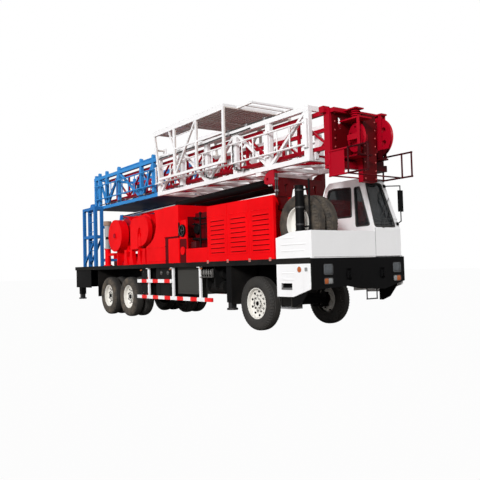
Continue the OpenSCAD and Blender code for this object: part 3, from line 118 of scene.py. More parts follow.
def grid_quads(rows: int, cols: int, close_rows: bool, close_cols: bool) -> np.ndarray:
    """Quads of a grid of points, row by row.

    Args:
        rows: number of rows of points.
        cols: number of points in a row.
        close_rows: the last row joins the first one.
        close_cols: the last point of a row joins its first one.

    Returns:
        An array of quads, as indices of points counted along the rows.
    """
    i = np.arange(rows if close_rows else rows - 1)[:, None]
    j = np.arange(cols if close_cols else cols - 1)[None, :]
    i2, j2 = (i + 1) % rows, (j + 1) % cols
    quads = [i * cols + j, i2 * cols + j, i2 * cols + j2, i * cols + j2]
    return np.stack([np.broadcast_to(q, (i.size, j.size)) for q in quads], -1).reshape(-1, 4)


def end_faces(rows: int, around: int) -> list[list[int]]:
    """Flat ends of a form of rows of points: a face over the first row, turned, and one over the last."""
    return [list(range(around - 1, -1, -1)), list(range((rows - 1) * around, rows * around))]


def circle(count: int, radius: float = 1.0, turned: float = 0.0) -> np.ndarray:
    """Points of a circle, radius * (cos a, sin a) for a = (k + turned) * 2 pi / count.

    Args:
        count: number of points.
        radius: radius of the circle.
        turned: how far the first point is turned, in steps from one point to the next.

    Returns:
        An array of count rows of two.
    """
    angle = (np.arange(count) + turned) * 2 * math.pi / count
    return radius * np.stack([np.cos(angle), np.sin(angle)], -1)


def round_section(first: np.ndarray, second: np.ndarray, sides: int) -> np.ndarray:
    """Unit circles across a path: first * cos a + second * sin a, a row for each point of the path."""
    ring = circle(sides)
    return first[:, None, :] * ring[None, :, :1] + second[:, None, :] * ring[None, :, 1:]


def rounded(outline: Sequence[Sequence[float]], radius: float, steps: int = 5) -> np.ndarray:
    """Rounds the corners of a closed outline, in two or three dimensions.

    Each corner becomes the quadratic curve (1 - t)^2 A + 2 t (1 - t) P + t^2 B, where A and B lie on the
    two sides at a distance of radius from the corner P.

    Args:
        outline: the corners.
        radius: how far from a corner the curve starts.
        steps: number of points on a corner, less one.

    Returns:
        The points of the rounded outline.
    """
    corners = np.asarray(outline, float)
    points = []
    for i, corner in enumerate(corners):
        before = corners[i - 1] - corner
        after = corners[(i + 1) % len(corners)] - corner
        start = corner + before / np.linalg.norm(before) * radius
        end = corner + after / np.linalg.norm(after) * radius
        for t in np.linspace(0.0, 1.0, steps + 1):
            points.append((1 - t) ** 2 * start + 2 * t * (1 - t) * corner + t ** 2 * end)
    return np.array(points)


@dataclass
class Form:
    """Gathers closed surfaces as arrays, and makes one mesh object of them."""

    name: str
    shift: float = 0.0
    points: list[np.ndarray] = field(default_factory=list)
    faces: list[list[int]] = field(default_factory=list)
    tags: list[int] = field(default_factory=list)
    count: int = 0
    tag: int = 0

    def add(self, points: np.ndarray, faces: Iterable[Sequence[int]]) -> None:
        """Adds points, moved along X by shift, and the faces between them.

        Args:
            points: rows of X, Y and Z.
            faces: the faces, as indices of these points. They take the finish of the current tag.
        """
        start = self.count
        self.points.append(np.asarray(points, float).reshape(-1, 3) + (self.shift, 0.0, 0.0))
        rows = [[int(i) + start for i in face] for face in faces]
        self.faces += rows
        self.tags += [self.tag] * len(rows)
        self.count += len(self.points[-1])

    def add_closed(self, points: np.ndarray, faces: Sequence[Sequence[int]]) -> None:
        """Adds a closed form, turned so that its faces point outwards.

        Six times its volume is the sum of a . (b x c) over triangles fanned in each face. Where that is
        negative, every face is turned round.

        Args:
            points: rows of X, Y and Z.
            faces: the faces, all outwards or all inwards.
        """
        points = np.asarray(points, float).reshape(-1, 3)
        volume = 0.0
        for face in faces:
            for second, third in zip(face[1:-1], face[2:]):
                volume += float(points[face[0]].dot(np.cross(points[second], points[third])))
        self.add(points, [face[::-1] for face in faces] if volume < 0 else faces)

    def box(self, low: Sequence[float], high: Sequence[float], bevel: float = 0.0) -> None:
        """Adds a box with cut edges.

        The box is a square section with cut corners in X and Y, carried up through four levels: full size
        less the bevel, full size, full size, full size less the bevel.

        Args:
            low: one corner.
            high: the corner opposite, in any order along an axis.
            bevel: cut of the level edges.
        """
        low, high = np.minimum(low, high), np.maximum(low, high)
        mid, half = (low + high) / 2, (high - low) / 2
        cut = min(bevel, float(half.min()) * MOST_BEVEL)
        if cut <= 0:
            square = ((-1, -1), (1, -1), (1, 1), (-1, 1))
            signs = np.array([[x, y, z] for z in (-1, 1) for x, y in square])
            faces = [[3, 2, 1, 0], [4, 5, 6, 7], [0, 1, 5, 4], [1, 2, 6, 5], [2, 3, 7, 6], [3, 0, 4, 7]]
            self.add(mid + signs * half, faces)
            return
        c = cut * CORNER_SHARE
        rows = []
        for z, inward in ((-half[2], cut), (-half[2] + cut, 0.0), (half[2] - cut, 0.0), (half[2], cut)):
            a, b = half[0] - inward, half[1] - inward
            ring = [(-a + c, -b), (a - c, -b), (a, -b + c), (a, b - c),
                    (a - c, b), (-a + c, b), (-a, b - c), (-a, -b + c)]
            rows.append([(x, y, z) for x, y in ring])
        faces = grid_quads(4, 8, False, True)[:, ::-1].tolist() + end_faces(4, 8)
        self.add(mid + np.array(rows).reshape(-1, 3), faces)

    def turned(self, centre: Sequence[float], profile: Sequence[Pair], turn: Turn, sides: int = 24,
               closed: bool = False) -> None:
        """Adds a turned form, whose point at angle a lies at centre + radius * (cos a, sin a).

        Which way round a closed profile runs is told by the sign of its area, from the shoelace sum.

        Args:
            centre: where the axis' zero lies.
            profile: points of radius and distance along the axis.
            turn: the axis.
            sides: number of points round it.
            closed: the profile's end joins its start, and the form is a ring. Otherwise it gets flat ends.
        """
        ring = circle(sides)
        r, h = np.array(profile, float).T
        first, second, axis = turn.value
        points = np.zeros((len(r), sides, 3))
        points[:, :, first] = np.outer(r, ring[:, 0])
        points[:, :, second] = np.outer(r, ring[:, 1])
        points[:, :, axis] = h[:, None]
        faces = grid_quads(len(r), sides, closed, True)[:, ::-1].tolist()
        if closed:
            inwards = float(np.sum(r * np.roll(h, -1) - np.roll(r, -1) * h)) > 0
        else:
            faces += end_faces(len(r), sides)
            inwards = h[-1] < h[0]
        if inwards:
            faces = [face[::-1] for face in faces]
        self.add(points.reshape(-1, 3) + np.array(centre, float), faces)

    def cylinder(self, centre: Sequence[float], radius: float, length: float, turn: Turn, sides: int = 16,
                 bevel: float = 0.0) -> None:
        """Adds a round bar.

        Args:
            centre: its middle.
            radius: its radius.
            length: its length along the axis.
            turn: the axis.
            sides: number of points round it.
            bevel: cut of its two rims.
        """
        half = length / 2
        cut = min(bevel, radius / 2, half * MOST_BEVEL)
        if cut > 0:
            profile = [(radius - cut, -half), (radius, -half + cut), (radius, half - cut),
                       (radius - cut, half)]
        else:
            profile = [(radius, -half), (radius, half)]
        self.turned(centre, profile, turn, sides)

    def tube(self, path: np.ndarray, radius: float, sides: int = 8) -> None:
        """Adds a round tube along a path, with flat ends.

        The section's first cross direction is carried along the path: at each point the last one, less its
        part along the path's direction, made a unit long.

        Args:
            path: points of the middle line.
            radius: radius of the tube.
            sides: number of points round it.
        """
        path = np.asarray(path, float)
        along = np.gradient(path, axis=0)
        along /= np.linalg.norm(along, axis=1, keepdims=True)
        cross = np.array([0.0, 0.0, 1.0]) if abs(along[0][2]) < STEEP else np.array([1.0, 0.0, 0.0])
        firsts = []
        for direction in along:
            cross = cross - direction * cross.dot(direction)
            cross = cross / np.linalg.norm(cross)
            firsts.append(cross)
        first = np.array(firsts)
        points = path[:, None, :] + round_section(first, np.cross(along, first), sides) * radius
        faces = grid_quads(len(path), sides, False, True)[:, ::-1].tolist() + end_faces(len(path), sides)
        self.add(points, faces)

    def sweep(self, rows: np.ndarray) -> None:
        """Adds a closed form through rows of points, each row once round a section, with flat ends."""
        rows = np.asarray(rows, float)
        number, around = rows.shape[:2]
        self.add_closed(rows, grid_quads(number, around, False, True).tolist() + end_faces(number, around))

    def prism(self, outline: Sequence[Pair], turn: Turn, low: float, high: float) -> None:
        """Adds a flat plate.

        Args:
            outline: its corners on the two cross axes of turn.
            turn: the axis across the plate.
            low: where it starts along the axis.
            high: where it ends.
        """
        first, second, axis = turn.value
        rows = np.zeros((2, len(outline), 3))
        rows[:, :, first] = [a for a, _ in outline]
        rows[:, :, second] = [b for _, b in outline]
        rows[0, :, axis] = low
        rows[1, :, axis] = high
        self.sweep(rows)

    def loop(self, path: np.ndarray, normal: Sequence[float], radius: float, sides: int = 8) -> None:
        """Adds a round bar along a closed flat path.

        Args:
            path: points of the middle line.
            normal: unit direction across the path's plane.
            radius: radius of the bar.
            sides: number of points round it.
        """
        path = np.asarray(path, float)
        along = np.roll(path, -1, axis=0) - np.roll(path, 1, axis=0)
        along /= np.linalg.norm(along, axis=1, keepdims=True)
        first = np.broadcast_to(np.asarray(normal, float), along.shape)
        points = path[:, None, :] + radius * round_section(first, np.cross(along, first), sides)
        self.add(points, grid_quads(len(path), sides, True, True)[:, ::-1].tolist())

    def rod(self, start: Sequence[float], end: Sequence[float], radius: float) -> None:
        """Adds a straight round bar between two points."""
        self.tube(np.array([start, end], float), radius)

    def nut(self, centre: Sequence[float], radius: float, length: float, turn: Turn) -> None:
        """Adds a six-sided bolt head or nut about its centre."""
        self.cylinder(centre, radius, length, turn, 6, bevel=length / 4)

    def make(self, finishes: Sequence["Finish"], body: str, slot: str, replaces: Sequence[str] = (),
             smooth: float = 40.0) -> bpy.types.Object:
        """Makes the object, dresses it and lets it ride.

        Args:
            finishes: one finish for each tag.
            body: the body that carries the piece.
            slot: the record's material slot for the piece; not used.
            replaces: the frame's nodes that it stands for.
            smooth: angle in degrees under which two faces are shaded as one surface.

        Returns:
            The new object, at the origin and unscaled.
        """
        mesh = bpy.data.meshes.new(self.name)
        mesh.from_pydata(np.vstack(self.points).tolist(), [], self.faces)
        mesh.polygons.foreach_set("use_smooth", np.ones(len(mesh.polygons), bool))
        mesh.set_sharp_from_angle(angle=math.radians(smooth))
        for finish in finishes:
            mesh.materials.append(finish.material())
        if len(finishes) > 1:
            mesh.polygons.foreach_set("material_index", np.array(self.tags, np.int32))
        mesh.update()
        piece = bpy.data.objects.new(self.name, mesh)
        bpy.context.scene.collection.objects.link(piece)
        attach(piece, body)
        if replaces:
            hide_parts(*replaces)
        log.info("%s: %d faces on %s", self.name, len(mesh.polygons), body)
        return piece


class Nodes:
    """A material's node tree, with short calls for the nodes that the finishes use."""

    def __init__(self, name: str) -> None:
        """Makes a new material with its shader, output and object coordinates."""
        self.material = bpy.data.materials.new(name)
        self.material.use_nodes = True
        self.tree = self.material.node_tree
        self.shader = self.tree.nodes["Principled BSDF"]
        self.coords = self.tree.nodes.new("ShaderNodeTexCoord").outputs["Object"]
        self._axes: Optional[list[Socket]] = None

    def link(self, source: Socket, target: Socket) -> None:
        """Joins two sockets."""
        self.tree.links.new(source, target)

    def feed(self, value: Socket | float, target: Socket) -> None:
        """Joins a socket to target, or sets target to a number."""
        if isinstance(value, (int, float)):
            target.default_value = value
        else:
            self.link(value, target)

    def stretched(self, scale: Point) -> Socket:
        """Object coordinates scaled by scale, for a pattern longer one way than another."""
        node = self.tree.nodes.new("ShaderNodeMapping")
        node.inputs["Scale"].default_value = scale
        self.link(self.coords, node.inputs["Vector"])
        return node.outputs["Vector"]

    def noise(self, scale: float, detail: float = 2.0, coords: Optional[Socket] = None) -> Socket:
        """A cloudy pattern of 0 to 1.

        Args:
            scale: waves to a metre.
            detail: number of finer patterns laid over it.
            coords: what the pattern lies on, where that isn't the plain object coordinates.

        Returns:
            The pattern.
        """
        node = self.tree.nodes.new("ShaderNodeTexNoise")
        node.inputs["Scale"].default_value = scale
        node.inputs["Detail"].default_value = detail
        self.link(coords or self.coords, node.inputs["Vector"])
        return node.outputs["Fac"]

    def axes(self) -> list[Socket]:
        """X, Y and Z of the object coordinates."""
        if self._axes is None:
            node = self.tree.nodes.new("ShaderNodeSeparateXYZ")
            self.link(self.coords, node.inputs["Vector"])
            self._axes = list(node.outputs)
        return self._axes

    def math(self, kind: str, a: Socket | float, b: Socket | float = 0.0, clamp: bool = False) -> Socket:
        """A sum, product or other step on numbers.

        Args:
            kind: the Math node's operation.
            a: its first number.
            b: its second number, where it takes two.
            clamp: holds the result between 0 and 1.

        Returns:
            The result.
        """
        node = self.tree.nodes.new("ShaderNodeMath")
        node.operation = kind
        node.use_clamp = clamp
        for socket, value in zip(node.inputs, (a, b)):
            self.feed(value, socket)
        return node.outputs["Value"]

    def ranged(self, value: Socket, low: float, high: float, to_low: float = 0.0,
               to_high: float = 1.0) -> Socket:
        """Carries low...high over to to_low...to_high, and holds it there outside."""
        node = self.tree.nodes.new("ShaderNodeMapRange")
        for key, number in (("From Min", low), ("From Max", high), ("To Min", to_low), ("To Max", to_high)):
            node.inputs[key].default_value = number
        self.link(value, node.inputs["Value"])
        return node.outputs["Result"]

    def mixed(self, factor: Socket | float, a: Socket | Colour, b: Socket | Colour) -> Socket:
        """Colour a turning to colour b as factor goes from 0 to 1."""
        node = self.tree.nodes.new("ShaderNodeMix")
        node.data_type = "RGBA"
        self.feed(factor, node.inputs["Factor"])
        for socket, value in zip((node.inputs[6], node.inputs[7]), (a, b)):
            if isinstance(value, tuple):
                socket.default_value = (*value, 1.0)
            else:
                self.link(value, socket)
        return node.outputs[2]

    def inside(self, low: Point, high: Point) -> Socket:
        """1 inside a box given by two corners, and 0 outside."""
        found: Optional[Socket] = None
        for axis, (a, b) in zip(self.axes(), zip(low, high)):
            step = self.math("MULTIPLY", self.math("GREATER_THAN", axis, a), self.math("LESS_THAN", axis, b))
            found = step if found is None else self.math("MULTIPLY", found, step)
        return found

    def surface(self, colour: Socket, roughness: Socket) -> None:
        """Gives the shader its colour and its roughness."""
        self.link(colour, self.shader.inputs["Base Color"])
        self.link(roughness, self.shader.inputs["Roughness"])

    def bump(self, height: Socket, depth: float, strength: float) -> None:
        """Raises the surface by height times depth, in metres."""
        node = self.tree.nodes.new("ShaderNodeBump")
        node.inputs["Strength"].default_value = strength
        node.inputs["Distance"].default_value = depth
        self.link(height, node.inputs["Height"])
        self.link(node.outputs["Normal"], self.shader.inputs["Normal"])

    def set(self, **values: float) -> None:
        """Sets plain numbers on the shader's own sockets, each named with _ for a space."""
        for key, value in values.items():
            self.shader.inputs[key.replace("_", " ")].default_value = value


@dataclass(frozen=True)
class Zone:
    """A stretch of a piece with its own colour, between two corners in the row frame. Some stretches carry
    painted shade.
    """

    low: Point
    high: Point
    colour: Colour


@dataclass(frozen=True)
class Finish:
    """A finish. Its material is made once, under its name."""

    name: str

    def material(self) -> bpy.types.Material:
        """The finish's material, made at its first use."""
        found = bpy.data.materials.get(self.name)
        return found or self.build(Nodes(self.name))

    def build(self, nodes: Nodes) -> bpy.types.Material:
        """Builds the node tree."""
        raise NotImplementedError


@dataclass(frozen=True)
class Paint(Finish):
    """Sprayed paint: a slow change of tone, road dust low down, runs of dirt, and a fine skin."""

    colour: Colour
    roughness: float = 0.32
    coat: float = 0.35
    tone: float = 0.1
    dust: float = 0.25
    dust_colour: Colour = (0.36, 0.31, 0.25)
    dust_high: float = 1.5
    skin: float = 0.0006
    specular: float = 0.3
    zones: tuple[Zone, ...] = ()

    def build(self, nodes: Nodes) -> bpy.types.Material:
        """Builds the node tree: dirt is runs plus half the specks, and thins out up to dust_high."""
        deep = tuple(c * (1 - 2.2 * self.tone) for c in self.colour)
        clouds = nodes.ranged(nodes.noise(1.3, 4.0), 0.35, 0.75)
        colour = nodes.mixed(nodes.math("MULTIPLY", clouds, 0.8), self.colour, deep)
        # Each zone lays its colour over the paint; some zones are painted shade.
        for zone in self.zones:
            colour = nodes.mixed(nodes.inside(zone.low, zone.high), colour, zone.colour)
        low = nodes.ranged(nodes.axes()[2], 0.2, self.dust_high, 1.0, 0.12)
        runs = nodes.ranged(nodes.noise(2.2, 5.0, nodes.stretched((3.0, 3.0, 0.5))), 0.45, 0.8)
        specks = nodes.ranged(nodes.noise(38.0, 3.0), 0.5, 0.8)
        dirt = nodes.math("MULTIPLY", nodes.math("ADD", runs, nodes.math("MULTIPLY", specks, 0.5)), low)
        dirt = nodes.math("MULTIPLY", dirt, self.dust, clamp=True)
        rough = nodes.math("ADD", nodes.math("MULTIPLY", dirt, 0.5), self.roughness)
        rough = nodes.math("ADD", rough, nodes.math("MULTIPLY", clouds, 0.08), clamp=True)
        nodes.surface(nodes.mixed(dirt, colour, self.dust_colour), rough)
        nodes.set(Coat_Weight=self.coat, Coat_Roughness=0.12, Specular_IOR_Level=self.specular)
        nodes.bump(nodes.noise(160.0, 2.0), self.skin, 0.25)
        return nodes.material


@dataclass(frozen=True)
class Rubber(Finish):
    """Tyre and hose rubber with patches of dust, cut to about an eighth nearer the middle than a set
    distance, which keeps the rubber black there as painted shade.
    """

    colour: Colour = (0.020, 0.019, 0.018)
    dust_colour: Colour = (0.20, 0.155, 0.11)
    dust: float = 0.4
    roughness: float = 0.75
    painted_shade_y: float = 0.0
    edge: float = 0.06

    def build(self, nodes: Nodes) -> bpy.types.Material:
        """Builds the node tree: the dust comes back, and the painted shade fades, over the last edge metres
        before the set distance.
        """
        patches = nodes.ranged(nodes.noise(7.0, 5.0), 0.35, 0.75)
        fine = nodes.ranged(nodes.noise(90.0, 3.0), 0.4, 0.7)
        dirt = nodes.math("ADD", patches, nodes.math("MULTIPLY", fine, 0.4))
        dirt = nodes.math("MULTIPLY", dirt, self.dust, clamp=True)
        # Painted shade: less dust near the middle keeps the inner rubber black.
        if self.painted_shade_y > 0:
            away = nodes.math("ABSOLUTE", nodes.axes()[1])
            outside = nodes.ranged(away, self.painted_shade_y - self.edge, self.painted_shade_y, 0.12, 1.0)
            dirt = nodes.math("MULTIPLY", dirt, outside)
        rough = nodes.math("ADD", nodes.math("MULTIPLY", dirt, 0.3), self.roughness)
        nodes.surface(nodes.mixed(dirt, self.colour, self.dust_colour), rough)
        nodes.bump(nodes.noise(240.0, 3.0), 0.0008, 0.4)
        return nodes.material


@dataclass(frozen=True)
class Metal(Finish):
    """Bare or cast metal, with grain and stains."""

    colour: Colour
    stain: Colour = (0.12, 0.08, 0.05)
    metallic: float = 0.9
    roughness: float = 0.4
    grain: float = 120.0
    stained: float = 0.3

    def build(self, nodes: Nodes) -> bpy.types.Material:
        """Builds the node tree: the grain changes both the roughness and the height."""
        spots = nodes.math("MULTIPLY", nodes.ranged(nodes.noise(9.0, 6.0), 0.45, 0.8), self.stained)
        fine = nodes.noise(self.grain, 3.0)
        nodes.surface(nodes.mixed(spots, self.colour, self.stain),
                      nodes.ranged(fine, 0.3, 0.7, self.roughness - 0.08, self.roughness + 0.12))
        nodes.set(Metallic=self.metallic)
        nodes.bump(fine, 0.0006, 0.3)
        return nodes.material


@dataclass(frozen=True)
class Plastic(Finish):
    """Moulded plastic with a fine leather grain, or cloth with a very fine one."""

    colour: Colour
    roughness: float = 0.5
    grain: float = 300.0

    def build(self, nodes: Nodes) -> bpy.types.Material:
        """Builds the node tree: slow patches of a lighter tone and of roughness."""
        lighter = tuple(min(1.0, c * 1.3 + 0.01) for c in self.colour)
        patches = nodes.ranged(nodes.noise(14.0, 4.0), 0.3, 0.7)
        rough = nodes.ranged(nodes.noise(30.0, 2.0), 0.3, 0.7, self.roughness - 0.05, self.roughness + 0.1)
        nodes.surface(nodes.mixed(patches, self.colour, lighter), rough)
        nodes.bump(nodes.noise(self.grain, 2.0), 0.0005, 0.3)
        return nodes.material


@dataclass(frozen=True)
class Glass(Finish):
    """Tinted safety glass, with a little dust."""

    colour: Colour
    alpha: float = 0.55
    roughness: float = 0.04
    dust_colour: Colour = (0.6, 0.62, 0.62)

    def build(self, nodes: Nodes) -> bpy.types.Material:
        """Builds the node tree: the dust is 3 per cent at the most, and dulls the glass by as much."""
        dust = nodes.math("MULTIPLY", nodes.ranged(nodes.noise(6.0, 5.0), 0.4, 0.8), 0.03)
        nodes.surface(nodes.mixed(dust, self.colour, self.dust_colour),
                      nodes.math("ADD", dust, self.roughness))
        nodes.set(Alpha=self.alpha, IOR=1.5, Specular_IOR_Level=0.7)
        return nodes.material


@dataclass(frozen=True)
class Lens(Finish):
    """Lamp lens of coloured plastic, fluted like a real one."""

    colour: Colour
    pitch: float = 0.02
    roughness: float = 0.12

    def build(self, nodes: Nodes) -> bpy.types.Material:
        """Builds the node tree: the flutes are a sine along Y and Z with the given pitch, and their troughs
        are darker as painted shade.
        """
        rate = 2 * math.pi / self.pitch
        waves = [nodes.math("SINE", nodes.math("MULTIPLY", axis, rate)) for axis in nodes.axes()[1:]]
        flutes = nodes.math("ADD", waves[0], waves[1])
        # Painted shade: the colour falls to 55 per cent in the flutes' troughs.
        deep = tuple(c * 0.55 for c in self.colour)
        nodes.surface(nodes.mixed(nodes.ranged(flutes, -2.0, 2.0), deep, self.colour),
                      nodes.ranged(nodes.noise(40.0), 0.3, 0.7, self.roughness, self.roughness + 0.1))
        nodes.set(Coat_Weight=0.6)
        nodes.bump(flutes, 0.0012, 0.5)
        return nodes.material


@dataclass(frozen=True)
class TreadPlate(Finish):
    """Painted chequer plate: a lattice of raised bars, worn paler on top and dusty in places."""

    colour: Colour
    pitch: float = 0.045
    roughness: float = 0.45
    dust_colour: Colour = (0.06, 0.052, 0.044)

    def build(self, nodes: Nodes) -> bpy.types.Material:
        """Builds the node tree: bars stand where sin x * sin y is high, x and y turned by 45 degrees."""
        x, y, _ = nodes.axes()
        rate = math.pi / self.pitch
        a = nodes.math("SINE", nodes.math("MULTIPLY", nodes.math("ADD", x, y), rate))
        b = nodes.math("SINE", nodes.math("MULTIPLY", nodes.math("SUBTRACT", x, y), rate))
        bars = nodes.ranged(nodes.math("MULTIPLY", a, b), 0.45, 0.7)
        worn = tuple(min(1.0, c * 2.4 + 0.012) for c in self.colour)
        clouds = nodes.ranged(nodes.noise(1.7, 5.0), 0.35, 0.75)
        colour = nodes.mixed(nodes.math("MULTIPLY", bars, 0.5), self.colour, worn)
        colour = nodes.mixed(nodes.math("MULTIPLY", clouds, 0.25), colour, self.dust_colour)
        nodes.surface(colour, nodes.ranged(clouds, 0.0, 1.0, self.roughness, self.roughness + 0.25))
        nodes.set(Specular_IOR_Level=0.08)
        nodes.bump(bars, 0.003, 0.7)
        return nodes.material


RED = (0.84, 0.0008, 0.004)
CRIMSON = (0.40, 0.002, 0.014)
# Painted shade of the red paint, for recesses, gaps and faces turned from the light.
PAINTED_SHADE_RED = (0.10, 0.001, 0.003)
SHADED_RED = (0.05, 0.002, 0.004)
WHITE = (0.88, 0.88, 0.89)
BLUE = (0.040, 0.25, 0.60)
# Painted shade of the blue paint, under the mast.
PAINTED_SHADE_NAVY = (0.006, 0.035, 0.11)
BLACK = (0.0048, 0.0048, 0.0052)
TAN = (0.30, 0.20, 0.15)
BEIGE = (0.66, 0.60, 0.56)
CREAM = (0.80, 0.78, 0.73)
LOWER_GREY = (0.30, 0.30, 0.31)
UPPER_GREY = (0.34, 0.34, 0.35)
SEAM_GREY = (0.22, 0.22, 0.23)
BOX_GREY = (0.045, 0.044, 0.040)

RED_PAINT = Paint("red_paint_sprayed", RED, roughness=0.45, coat=0.01, specular=0.06, dust=0.06,
                  dust_colour=(0.16, 0.008, 0.010))
CRIMSON_PAINT = Paint("crimson_paint_sprayed", CRIMSON, roughness=0.4, coat=0.01, specular=0.08, dust=0.08,
                      dust_colour=(0.25, 0.05, 0.05))
WHITE_PAINT = Paint("white_paint_sprayed", WHITE, roughness=0.3, coat=0.2, tone=0.02, dust=0.14,
                    dust_high=1.7)
FRAME_BLUE = Paint("blue_paint_frame", (0.024, 0.16, 0.46), roughness=0.45, coat=0.0, specular=0.06,
                   dust=0.08, dust_colour=(0.16, 0.18, 0.22))
BLACK_PAINT = Paint("black_paint_sprayed", BLACK, roughness=0.5, coat=0.02, specular=0.06, dust=0.10,
                    dust_colour=(0.035, 0.030, 0.026))
# Near black: paint on dark parts, and painted shade behind the louvre slots, in the wheels' hand holes and on
# the axles and knuckles.
BLACK_AND_PAINTED_SHADE = Paint("black_paint_and_painted_shade", (0.004, 0.004, 0.0045), roughness=0.6, coat=0.0, specular=0.08,
                   dust=0.10, dust_colour=(0.05, 0.042, 0.035))
BRACKET_PAINT = Paint("bracket_primer", (0.52, 0.20, 0.17), roughness=0.5, coat=0.0, dust=0.2)
DARK_WORKS = Paint("works_dark_red", (0.060, 0.004, 0.006), roughness=0.5, coat=0.02, specular=0.15,
                   tone=0.12, dust=0.2, dust_colour=(0.08, 0.05, 0.045))
BOLT_PAINT = Paint("bolt_heads_worn", (0.55, 0.10, 0.10), roughness=0.45, coat=0.0, dust=0.1)
BOARD_BEIGE = Paint("board_floor_beige", BEIGE, roughness=0.5, coat=0.0, specular=0.2)
TYRE_RUBBER = Rubber("tyre_rubber_dusty", dust=0.42)
ROAD_RUBBER = Rubber("road_tyre_rubber", dust=0.5, painted_shade_y=1.19)
HOSE_RUBBER = Rubber("hose_rubber", colour=(0.02, 0.02, 0.021), dust=0.12, roughness=0.5)
TRIM_RUBBER = Rubber("window_rubber", colour=(0.014, 0.014, 0.015), dust=0.06, roughness=0.55)
CAST_IRON = Metal("cast_iron_grey", (0.10, 0.10, 0.105), metallic=0.4, roughness=0.6, grain=90.0)
GREY_STEEL = Metal("worked_steel", (0.34, 0.34, 0.35), metallic=0.85, roughness=0.38)
BRIGHT_ROD = Metal("chromed_rod", (0.70, 0.71, 0.73), metallic=1.0, roughness=0.16, stained=0.08, grain=30.0)
ROPE_STEEL = Metal("wire_rope", (0.26, 0.25, 0.24), metallic=0.7, roughness=0.5, stained=0.5, grain=400.0)
WORN_FITTING = Metal("worn_fittings", (0.16, 0.155, 0.15), metallic=0.7, roughness=0.5, grain=60.0)
BAND_STEEL = Metal("silencer_band", (0.035, 0.035, 0.037), metallic=0.5, roughness=0.55, grain=60.0)
MIRROR = Metal("mirror_silver", (0.75, 0.77, 0.80), metallic=1.0, roughness=0.05, stained=0.02, grain=8.0)
CAB_PLASTIC = Plastic("cab_trim_plastic", (0.05, 0.05, 0.055))
BLACK_PLASTIC = Plastic("black_plastic", (0.018, 0.018, 0.018), roughness=0.4)
VISOR_PLASTIC = Plastic("visor_plastic", (0.16, 0.165, 0.175), roughness=0.35)
SEAT_CLOTH = Plastic("seat_cloth", (0.055, 0.058, 0.066), roughness=0.85, grain=900.0)
CAB_GLASS = Glass("tinted_window", (0.012, 0.015, 0.017), alpha=0.70)
CLEAR_LENS = Lens("clear_lens", (0.33, 0.34, 0.34))
AMBER_LENS = Lens("amber_lens", (0.50, 0.11, 0.012), pitch=0.016)
GRILLE_LENS = Lens("headlamp_glass", (0.16, 0.18, 0.20), pitch=0.018)
DECK_PLATE = TreadPlate("deck_chequer_plate", BLACK)


